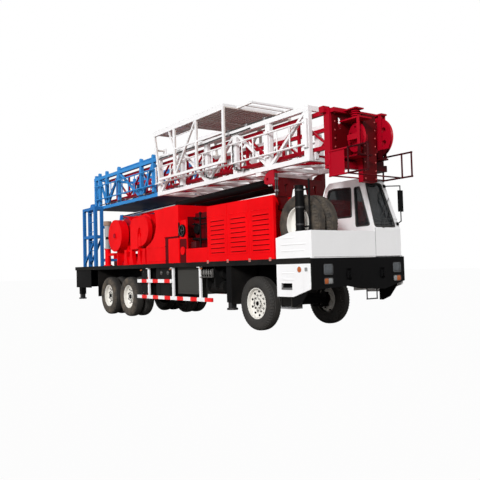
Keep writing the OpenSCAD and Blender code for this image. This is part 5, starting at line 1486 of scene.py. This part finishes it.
@dataclass
class Machinery(Assembly):
    """Pipes, valves and levers in the open recesses of the machinery deck.

    The pipes of a recess are given by height, radius and distance from the middle, their collars by X and
    drop, the column by X and distance from the middle, flanges and handwheels by X and height, and the lines
    under the drum by X, height and radius.
    """

    pipes: tuple[Triple, ...] = ((2.52, 0.022, 1.00), (2.38, 0.016, 1.03), (2.02, 0.030, 1.02))
    pipe_jog: float = 0.04
    pipe_drop: float = 0.03
    collars: tuple[Pair, ...] = ((4.20, 0.0), (4.90, 0.025))
    column: Pair = (4.62, 1.13)
    flanges: tuple[Pair, ...] = ((4.22, 2.26), (4.78, 2.22))
    flange_y: float = 0.975
    flange_profile: tuple[Pair, ...] = ((0.105, -0.035), (0.120, -0.020), (0.120, 0.020), (0.105, 0.035))
    wheel_at: Pair = (3.90, 2.24)
    wheel_y: float = 1.235
    wheel_radius: float = 0.125
    wheel_spokes: int = 5
    valves: int = 5
    valve_x: float = 0.06
    valve_pitch: float = 0.075
    valve_wide: float = 0.045
    tanks: tuple[float, ...] = (-0.34, 0.12, 0.50, 0.88)
    tank_z: float = 1.60
    bands: tuple[float, ...] = (-0.55, 0.0, 0.55)
    cross_lines: tuple[Triple, ...] = ((-0.56, 1.78, 0.022), (0.30, 1.78, 0.018))

    def recess(self) -> None:
        """Builds the pipes, the thin column, the flanges and the small boxes beside the engine housing."""
        form, boxes = self.form("recess_pipes"), self.form("recess_boxes")
        column_x, column_y = self.column
        for side in Side:
            y = side.value
            for z, r, away in self.pipes:
                inner, outer, low = y * away, y * (away + self.pipe_jog), z - self.pipe_drop
                form.tube(np.array([(4.10, inner, z), (4.36, inner, z), (4.44, outer, low),
                                    (4.80, outer, low), (4.99, inner, low)]), r, 10)
                for x, drop in self.collars:
                    form.cylinder((x, inner, z - drop), r + 0.012, 0.03, Turn.X, 12, 0.003)
            form.cylinder((column_x, y * column_y, 2.215), 0.020, 0.85, Turn.Z, 12)
            form.cylinder((column_x, y * column_y, 2.60), 0.034, 0.05, Turn.Z, 16, 0.004)
            for x, z in self.flanges:
                form.turned((x, y * self.flange_y, z), self.flange_profile, Turn.Y, 28)
                for bolt_x, bolt_z in circle(6, 0.085):
                    form.nut((x + bolt_x, y * 1.012, z + bolt_z), 0.010, 0.008, Turn.Y)
            boxes.box((4.12, y * 0.935, 1.80), (4.34, y * 1.10, 1.96), 0.012)
            boxes.box((4.84, y * 0.935, 1.80), (4.98, y * 1.06, 2.12), 0.012)
        form.make([BLACK_AND_PAINTED_SHADE], "carrier", "black_paint")
        boxes.make([DARK_WORKS], "carrier", "red_paint")

    def handwheels(self) -> None:
        """Builds a handwheel on each side of the transmission column."""
        form = self.form("transmission_handwheels")
        wheel_x, wheel_z = self.wheel_at
        for side in Side:
            y = side.value * self.wheel_y
            ring = [(wheel_x + x, y, wheel_z + z) for x, z in circle(40, self.wheel_radius)]
            form.loop(np.array(ring), (0.0, 1.0, 0.0), 0.010, 10)
            for x, z in circle(self.wheel_spokes, self.wheel_radius - 0.003):
                form.rod((wheel_x, y, wheel_z), (wheel_x + x, y, wheel_z + z), 0.006)
            form.cylinder((wheel_x, side.value * 1.222, wheel_z), 0.028, 0.045, Turn.Y, 16, 0.004)
        form.make([BLACK_PLASTIC], "carrier", "black_plastic")

    def valve_bank(self, dark: Form, bright: Form, y: int) -> None:
        """Adds one side's valve bank with its levers and lines, and the filter beside it.

        Args:
            dark: takes the bank and the filter.
            bright: takes the levers and the lines.
            y: the side's sign.
        """
        dark.box((0.02, y * 0.98, 1.465), (0.40, y * 0.60, 1.66), 0.014)
        for k in range(self.valves):
            x = self.valve_x + k * self.valve_pitch
            middle, low = x + 0.022, 1.56 + 0.012 * k
            dark.box((x, y * 0.94, 1.655), (x + self.valve_wide, y * 0.70, 1.735), 0.008)
            bright.cylinder((middle, y * 0.82, 1.752), 0.012, 0.040, Turn.Z, 10)
            bright.tube(np.array([(middle, y * 0.985, low), (middle, y * 1.03, low),
                                  (x + 0.03, y * 1.05, 1.53), (x + 0.03, y * 1.05, 1.475)]), 0.009)
        dark.box((-0.62, y * 1.02, 1.465), (-0.36, y * 0.70, 1.60), 0.012)
        dark.cylinder((-0.49, y * 0.86, 1.665), 0.09, 0.14, Turn.Z, 24, 0.008)

    def under_drum(self) -> None:
        """Builds the valve banks, the small tanks with their bands, and the lines under the winch drum."""
        dark, bright = self.form("drum_valve_banks"), self.form("drum_levers_and_lines")
        for side in Side:
            self.valve_bank(dark, bright, side.value)
        for x in self.tanks:
            dark.cylinder((x, 0.0, self.tank_z), 0.125, 1.50, Turn.Y, 32, 0.02)
            for y in self.bands:
                dark.cylinder((x, y, self.tank_z), 0.133, 0.03, Turn.Y, 32, 0.004)
        for x, z, r in self.cross_lines:
            bright.cylinder((x, 0.0, z), r, 1.60, Turn.Y, 12)
        dark.make([DARK_WORKS], "carrier", "black_paint")
        bright.make([CRIMSON_PAINT], "carrier", "red_paint")

    def build(self) -> None:
        """Builds the machinery."""
        self.recess()
        self.handwheels()
        self.under_drum()


@dataclass
class Exhaust(Assembly):
    """Clamp bands of the upright silencer."""

    x: float = 8.204
    y: float = -1.164
    zs: tuple[float, ...] = (2.08, 2.40, 2.72)
    inner: float = 0.0855
    outer: float = 0.0885
    half: float = 0.016

    def build(self) -> None:
        """Builds the bands, each with its clamp's block."""
        form = self.form("silencer_bands")
        profile = [(self.inner, -self.half), (self.outer, -self.half), (self.outer, self.half),
                   (self.inner, self.half)]
        for z in self.zs:
            form.turned((self.x, self.y, z), profile, Turn.Z, 32, True)
            form.box((self.x - 0.012, self.y + 0.083, z - 0.014), (self.x + 0.012, self.y + 0.108, z + 0.014),
                     0.002)
        form.make([BAND_STEEL], "carrier", "black_paint")


@dataclass
class NosePanels(Assembly):
    """Pressed beads, seams and the step of the white nose.

    A bead is given by its height and by where it starts and ends.
    """

    beads: tuple[Triple, ...] = ((1.845, 7.72, 8.12), (1.72, 7.72, 8.44), (1.60, 7.72, 8.40),
                                (1.18, 7.74, 8.08), (1.06, 7.74, 8.10))
    wall_y: float = 1.2495
    bead_half: float = 0.018
    bead_proud: float = 0.007
    run_out: float = 0.03
    end_share: float = 0.1
    front_x: Range = (8.5935, 8.5952)

    def side_beads(self) -> None:
        """Builds the near side's beads: ridges, sin(pi v) high across, that run out at both ends."""
        form = self.form("nose_side_beads")
        y = Side.NEAR.value
        for z, start, end in self.beads:
            low, high = z - self.bead_half, z + self.bead_half
            rows = []
            for x, lift in ((start, self.end_share), (start + self.run_out, 1.0), (end - self.run_out, 1.0),
                            (end, self.end_share)):
                top = [(x, y * (self.wall_y + self.bead_proud * lift * math.sin(math.pi * v)),
                        low + (high - low) * v) for v in np.linspace(0.0, 1.0, 7)]
                rows.append(top + [(x, y * (self.wall_y - 0.001), high), (x, y * (self.wall_y - 0.001), low)])
            form.sweep(np.array(rows))
        form.box((7.70, -1.2510, 1.47), (8.58, -1.2495, 1.475))
        form.make([WHITE_PAINT], "carrier", "white_paint", smooth=30.0)

    def seams(self) -> None:
        """Builds the dark seams on the nose's front."""
        form = self.form("nose_front_seams")
        start, end = self.front_x
        form.box((start, 0.424, 1.475), (end, 0.430, 2.02))
        form.box((start, -1.20, 1.462), (end, 1.20, 1.468))
        form.make([TRIM_RUBBER], "carrier", "black_plastic")

    def step(self) -> None:
        """Builds the dark backs of the step openings and the treads in them."""
        form = self.form("nose_step_back")
        for side in Side:
            y = side.value
            form.tag = 0
            form.box((7.66, y * 1.150, 0.84), (8.06, y * 1.155, 1.02))
            form.tag = 1
            form.box((7.700, y * 1.156, 0.868), (8.022, y * 1.244, 0.905), 0.003)
        form.make([BLACK_AND_PAINTED_SHADE, GREY_STEEL], "carrier", "black_paint")

    def build(self) -> None:
        """Builds beads, seams and steps."""
        self.side_beads()
        self.seams()
        self.step()


@dataclass
class MastLines(Assembly):
    """Hydraulic lines clamped along the lower mast and its support, with their clamps.

    The lines that drop from the mast's top are given by X, height and radius.
    """

    side_y: float = 0.778
    bend: float = 0.22
    clamp_size: float = 1.7
    drops: tuple[Triple, ...] = ((5.50, 4.12, 0.019), (4.24, 4.05, 0.016), (2.62, 3.98, 0.013))
    long_radius: float = 0.014
    sway: float = 0.008
    top_z: float = 4.436

    def line(self, form: Form, clamps: Form, corners: Sequence[Point], radius: float,
             sway: float = 0.0) -> None:
        """Adds a line through corners, and a clamp at the middle of each stretch.

        A stretch leaves out its bend, a share of its length, at each inner corner, and the line runs straight
        from one stretch to the next. Along a stretch it sways up and down by sway * sin(2 pi t).

        Args:
            form: takes the line.
            clamps: takes the clamps.
            corners: the corners.
            radius: the line's radius.
            sway: how far it sways.
        """
        corners = np.asarray(corners, float)
        last = len(corners) - 2
        path = [corners[0]]
        for i, (a, b) in enumerate(zip(corners, corners[1:])):
            start = self.bend if i > 0 else 0.0
            end = 1.0 - self.bend if i < last else 1.0
            for t in np.linspace(start, end, 9):
                point = a + (b - a) * t
                point[2] += sway * math.sin(2 * math.pi * t)
                if np.linalg.norm(point - path[-1]) > 1e-4:
                    path.append(point)
            middle, half = (a + b) / 2, radius * self.clamp_size
            clamps.box(middle - half, middle + half, 0.004)
        form.tube(np.array(path), radius, 10)

    def mast(self) -> None:
        """Builds the lines that the lower mast carries."""
        lines, clamps = self.form("mast_hydraulic_lines"), self.form("mast_line_clamps")
        for side in Side:
            y = side.value * self.side_y
            for x, top, radius in self.drops:
                corners = [(x, y, top), (x, y, 3.62), (x + 0.22, y, 3.47), (x + 0.62, y, 3.45)]
                self.line(lines, clamps, corners, radius)
            for corners in ([(1.95, y, 4.335), (3.20, y, 4.345), (4.60, y, 4.335), (6.20, y, 4.345)],
                            [(-2.20, y, 3.46), (-0.90, y, 3.47), (0.50, y, 3.46), (1.60, y, 3.47)]):
                self.line(lines, clamps, corners, self.long_radius, self.sway)
        for y, radius in ((-0.70, 0.020), (-0.655, 0.016)):
            z = self.top_z + radius
            corners = [(4.95, y, z), (5.60, y + 0.02, z), (6.30, y, z), (6.95, y + 0.02, z)]
            self.line(lines, clamps, corners, radius)
        lines.make([HOSE_RUBBER], "lower_mast", "black_plastic")
        clamps.make([GREY_STEEL], "lower_mast", "grey_steel")

    def support(self) -> None:
        """Builds the lines that stay on the carrier, up the mast's support and over the housing."""
        lines, clamps = self.form("support_lines"), self.form("support_line_clamps")
        for y in (-0.655, -0.700):
            self.line(lines, clamps, [(6.935, y, 2.76), (6.935, y, 3.02), (6.935, y, 3.26)], 0.013)
        for y in (-1.02, -0.98, -0.90):
            self.line(lines, clamps, [(5.20, y, 2.722), (5.90, y + 0.02, 2.722), (6.66, y, 2.722)], 0.012)
        lines.make([HOSE_RUBBER], "carrier", "black_plastic")
        clamps.make([GREY_STEEL], "carrier", "grey_steel")

    def build(self) -> None:
        """Builds all lines."""
        self.mast()
        self.support()


@dataclass
class CrownBolts(Assembly):
    """Bolts of the crown block's folded column and front plate.

    Each pair of rows has its face's X, its two Y, and its lowest height, end and pitch.
    """

    rows: tuple[tuple[float, Pair, Triple], ...] = (
        (8.905, (-0.118, 0.168), (2.92, 4.12, 0.155)),
        (8.629, (-0.605, 0.300), (3.20, 4.20, 0.16)),
    )

    def build(self) -> None:
        """Builds the rows of bolts."""
        form = self.form("crown_bolts")
        for x, ys, (low, end, pitch) in self.rows:
            for z in np.arange(low, end, pitch):
                for y in ys:
                    form.nut((x, y, z), 0.016, 0.012, Turn.X)
        form.make([BOLT_PAINT], "upper_mast", "red_paint")


@dataclass
class BoardDetails(Assembly):
    """Ribs of the racking board's floor and short pins along its two long edges."""

    top: float = 5.0
    ribs: int = 17
    rib_pitch: float = 0.12
    rib_half: float = 0.014
    rib_x: Range = (3.50, 5.43)
    pins: int = 15
    pin_x: float = 2.22
    pin_pitch: float = 0.22
    pin_y: float = 1.0

    def build(self) -> None:
        """Builds the ribs and the pins."""
        floor, edge = self.form("board_ribs"), self.form("board_edge_pins")
        for k in range(self.ribs):
            y = (k - (self.ribs - 1) / 2) * self.rib_pitch
            floor.box((self.rib_x[0], y - self.rib_half, self.top - 0.022),
                      (self.rib_x[1], y + self.rib_half, self.top - 0.0005), 0.004)
        floor.make([BOARD_BEIGE], "board", "white_paint")
        for side in Side:
            for k in range(self.pins):
                x = self.pin_x + self.pin_pitch * k
                edge.cylinder((x, side.value * self.pin_y, self.top + 0.010), 0.011, 0.026, Turn.Z, 10, 0.003)
        edge.make([GREY_STEEL], "board", "grey_steel")


@dataclass
class TankFittings(Assembly):
    """Bolts, filler caps and a row of valves of the tanks and boxes under the deck."""

    face_y: float = 1.16
    bolt_xs: Pair = (1.66, 1.90)
    bolt_zs: Triple = (0.70, 1.00, 1.26)
    cap_xs: Pair = (2.70, 3.05)
    cap_z: float = 1.22
    valves: int = 5
    valve_x: float = 4.74
    valve_pitch: float = 0.10
    valve_y: float = 1.195
    post_xs: Pair = (4.70, 5.18)

    def build(self) -> None:
        """Builds the fittings on both sides."""
        form = self.form("tank_fittings")
        for side in Side:
            y, top = side.value * (self.face_y + 0.006), side.value * (self.face_y + 0.022)
            for x in self.bolt_xs:
                for z in self.bolt_zs:
                    form.nut((x, y, z), 0.014, 0.012, Turn.Y)
            for x in self.cap_xs:
                form.cylinder((x, y, self.cap_z), 0.052, 0.022, Turn.Y, 24, 0.005)
                form.cylinder((x, top, self.cap_z), 0.024, 0.018, Turn.Y, 12, 0.003)
            y = side.value * self.valve_y
            for x in [self.valve_x + self.valve_pitch * k for k in range(self.valves)]:
                form.cylinder((x, y, 1.215), 0.030, 0.10, Turn.Z, 16, 0.006)
                form.cylinder((x, y, 1.145), 0.012, 0.05, Turn.Z, 10)
                form.nut((x, y, 1.275), 0.016, 0.02, Turn.Z)
            form.box((4.68, side.value * 1.165, 1.10), (5.20, side.value * 1.225, 1.122), 0.004)
            for x in self.post_xs:
                form.box((x - 0.012, side.value * 1.165, 1.12), (x + 0.012, side.value * 1.185, 1.30), 0.003)
        form.make([WORN_FITTING], "carrier", "grey_steel")


def tyre_nodes() -> dict[str, tuple[str, int]]:
    """Tyre nodes, each with its rim's node and its number of tyres."""
    found = {f"tyre_front_{hand}": (f"rim_front_{hand}", 1) for hand in HANDS}
    for axle in (1, 2):
        for hand in HANDS:
            found[f"tyres_rear_{axle}_{hand}"] = (f"rims_rear_{axle}_{hand}", 2)
    found["spare_tyres"] = ("spare_rims", 2)
    return found


@dataclass
class Colours:
    """Finishes of the nodes that keep their own shape, with the stretches that have a colour of their own,
    painted shade among them.
    """

    place: Place
    wide: Range = (-1.4, 1.4)
    guard_wide: Range = (-1.3, 1.3)
    band_x: float = 1.72
    band_long: float = 0.30
    band_pitch: float = 0.64
    guard_rails: tuple[tuple[Range, int], ...] = (((0.50, 0.70), 6), ((0.92, 1.12), 3))

    def zoned(self, paint: Paint, zones: Sequence[tuple[Range, Range, Range, Colour]]) -> Paint:
        """The same paint with coloured stretches, given by their ranges along each axis and colour."""
        return replace(paint, zones=tuple(self.place.zone(*zone) for zone in zones))

    def drawworks(self) -> Paint:
        """Red, with grey, black and tan panels one over another at the rear end."""
        x = (-1.0, -0.70)
        return self.zoned(replace(RED_PAINT, name="red_paint_works"), [
            (x, self.wide, (1.98, 2.27), LOWER_GREY),
            (x, self.wide, (2.27, 2.35), BLACK),
            (x, self.wide, (2.35, 2.69), UPPER_GREY),
            (x, self.wide, (2.69, 2.90), TAN),
        ])

    def power_boxes(self) -> Paint:
        """Red outside, with dark red painted shade in the recesses, the gaps, under the upper box and on the
        transmission's inner faces, and black behind the handwheels.
        """
        return self.zoned(replace(RED_PAINT, name="red_paint_boxes"), [
            # Dark red painted shade: the open recess, the gap before the transmission, the strip under the
            # upper box's overhang, the gap beside it, and the transmission's inner faces.
            ((4.05, 5.10), (-0.99, 0.99), (1.785, 2.70), PAINTED_SHADE_RED),
            ((3.75, 4.06), (-0.97, 0.97), (1.40, 2.60), PAINTED_SHADE_RED),
            ((3.74, 4.06), (-1.4, -1.1915), (2.0, 2.45), BLACK),
            ((3.74, 4.06), (1.1915, 1.4), (2.0, 2.45), BLACK),
            ((3.03, 3.73), self.wide, (2.075, 2.122), PAINTED_SHADE_RED),
            ((3.03, 3.185), self.wide, (1.44, 2.08), PAINTED_SHADE_RED),
            ((3.735, 4.065), (-1.1915, 1.1915), (1.44, 2.04), PAINTED_SHADE_RED),
        ])

    def side_guards(self) -> Paint:
        """White with red bands of band_long at a pitch of band_pitch, on both rails."""
        bands = []
        for z, number in self.guard_rails:
            for start in [self.band_x + self.band_pitch * i for i in range(number)]:
                bands.append(((start, start + self.band_long), self.guard_wide, z, RED))
        return self.zoned(Paint("guard_paint_banded", WHITE, roughness=0.35, coat=0.1, tone=0.02), bands)

    def nose(self) -> Paint:
        """White, with a black lower edge, black behind the step, and a grey seam."""
        return self.zoned(replace(WHITE_PAINT, name="white_paint_nose", dust=0.16, dust_high=1.6), [
            ((6.0, 8.58), self.wide, (0.3, 0.735), BLACK),
            ((7.70, 8.025), self.wide, (0.870, 0.990), BLACK),
            ((7.60, 8.20), self.wide, (0.49, 0.533), SEAM_GREY),
        ])

    def mast(self) -> Paint:
        """Blue, with navy painted shade low down between the chords, on the mast's underside."""
        blue = Paint("blue_paint_mast", BLUE, roughness=0.45, coat=0.0, specular=0.06, tone=0.07, dust=0.06,
                     dust_colour=(0.25, 0.32, 0.40))
        # Navy painted shade on the mast's underside.
        return self.zoned(blue, [((-2.8, 1.9), (-0.66, 0.66), (3.2, 3.46), PAINTED_SHADE_NAVY)])

    def tanks(self) -> Paint:
        """Near black, with one box a little paler."""
        black = Paint("tank_paint_grey", (0.009, 0.009, 0.0088), roughness=0.5, coat=0.02, specular=0.1,
                      dust=0.15, dust_colour=(0.05, 0.044, 0.038))
        return self.zoned(black, [((3.44, 4.56), self.guard_wide, (0.6, 1.40), BOX_GREY)])

    def rims(self) -> Paint:
        """Cream on the outer faces of the road wheels, and black painted shade further in."""
        cream = Paint("cream_rim_paint", CREAM, roughness=0.45, coat=0.1, tone=0.05, dust=0.35, dust_high=1.6,
                      dust_colour=(0.42, 0.36, 0.29))
        # Black painted shade on the rims' faces within 0.93 m of the middle, where the wheels stand in shade.
        return self.zoned(cream, [((-9.0, 12.0), (-0.93, 0.93), (0.0, 2.0), BLACK)])

    def board(self) -> Paint:
        """White rails round a beige floor."""
        white = Paint("board_paint", WHITE, roughness=0.4, coat=0.1, tone=0.03, dust=0.2)
        return self.zoned(white, [((-2.0, 6.0), (-0.985, 0.985), (3.6, 4.965), BEIGE)])

    def crown(self) -> Paint:
        """Crimson, with dark red painted shade on the front faces of the column and the front plate, and
        painted shade in the room about the sheaves.
        """
        return self.zoned(replace(CRIMSON_PAINT, name="crimson_paint_crown", dust=0.06), [
            # Painted shade on the faces turned away from the light, and in the room about the sheaves.
            ((8.865, 8.905), (-0.18, 0.21), (2.8, 4.2), PAINTED_SHADE_RED),
            ((8.590, 8.630), (-0.66, 0.34), (3.1, 4.3), PAINTED_SHADE_RED),
            ((9.05, 9.60), (-0.9, 0.9), (2.9, 3.5), SHADED_RED),
            ((8.56, 9.60), (0.30, 0.9), (2.9, 3.5), SHADED_RED),
        ])

    def support(self) -> Paint:
        """Dark red painted shade over the whole red support, and lighter crimson at the near top, where the
        light falls.
        """
        # The support's red is painted in shade all over, and the crimson stretch at its near upper corner is
        # where light falls on it.
        dark = Paint("support_paint_painted_shade", PAINTED_SHADE_RED, roughness=0.42, coat=0.06, specular=0.18, dust=0.06,
                     dust_colour=(0.12, 0.03, 0.03))
        return self.zoned(dark, [((6.5, 6.95), (-0.80, -0.60), (3.0, 3.5), CRIMSON)])

    def finishes(self) -> dict[str, Finish]:
        """The finish of each node by the node's name."""
        found: dict[str, Finish] = {
            "engine_housing": RED_PAINT, "drawworks": self.drawworks(), "power_boxes": self.power_boxes(),
            "cab_shell": WHITE_PAINT, "cab_door": WHITE_PAINT, "mast_lower_front": WHITE_PAINT,
            "front_body": self.nose(), "side_guards": self.side_guards(), "racking_board": self.board(),
            "mast_lower_rear": self.mast(), "rear_frame": FRAME_BLUE, "mast_upper": CRIMSON_PAINT,
            "drum": CRIMSON_PAINT, "crown_block": self.crown(), "mast_support": self.support(),
            "chassis_frame": BLACK_PAINT, "bumper": BLACK_PAINT, "exhaust": BLACK_PAINT,
            "wing_mirror": BLACK_PAINT, "ram_barrels": BLACK_PAINT, "ram_rods": BRIGHT_ROD,
            # Axles and knuckles are near black as painted shade.
            "axles": BLACK_AND_PAINTED_SHADE, "under_deck_tanks": self.tanks(), "deck": DECK_PLATE,
            "engine": CAST_IRON, "cab_glass": CAB_GLASS, "spare_rims": self.rims(),
        }
        for hand in HANDS:
            # Knuckles near black as painted shade.
            found.update({f"knuckle_{hand}": BLACK_AND_PAINTED_SHADE, f"rim_front_{hand}": self.rims(),
                          f"jack_front_{hand}": BAND_STEEL, f"jack_rear_{hand}": BAND_STEEL})
            found.update({f"rims_rear_{axle}_{hand}": self.rims() for axle in (1, 2)})
        return found


def main() -> None:
    """Loads the frame, builds the studio and the rig's looks."""
    logging.basicConfig(level=logging.INFO, format="%(name)s: %(message)s")
    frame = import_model()
    bodies = frame["record"]["behaviour"]["bodies"]
    body_of = {node: body for body, nodes in bodies.items() for node in nodes}
    place = tandem_place()
    Studio(place).build()
    Coats(Colours(place).finishes()).build(frame["nodes"])
    Tyres(tyre_nodes()).build(body_of)
    WheelTrim(tyre_nodes()).build(body_of)
    for assembly in (Louvres, DeckTrim, Lamps, CabTrim, CabInside, DrumRope, Machinery, Exhaust, NosePanels,
                     MastLines, CrownBolts, BoardDetails, TankFittings):
        assembly(place).build()


if __name__ == "__main__":
    main()
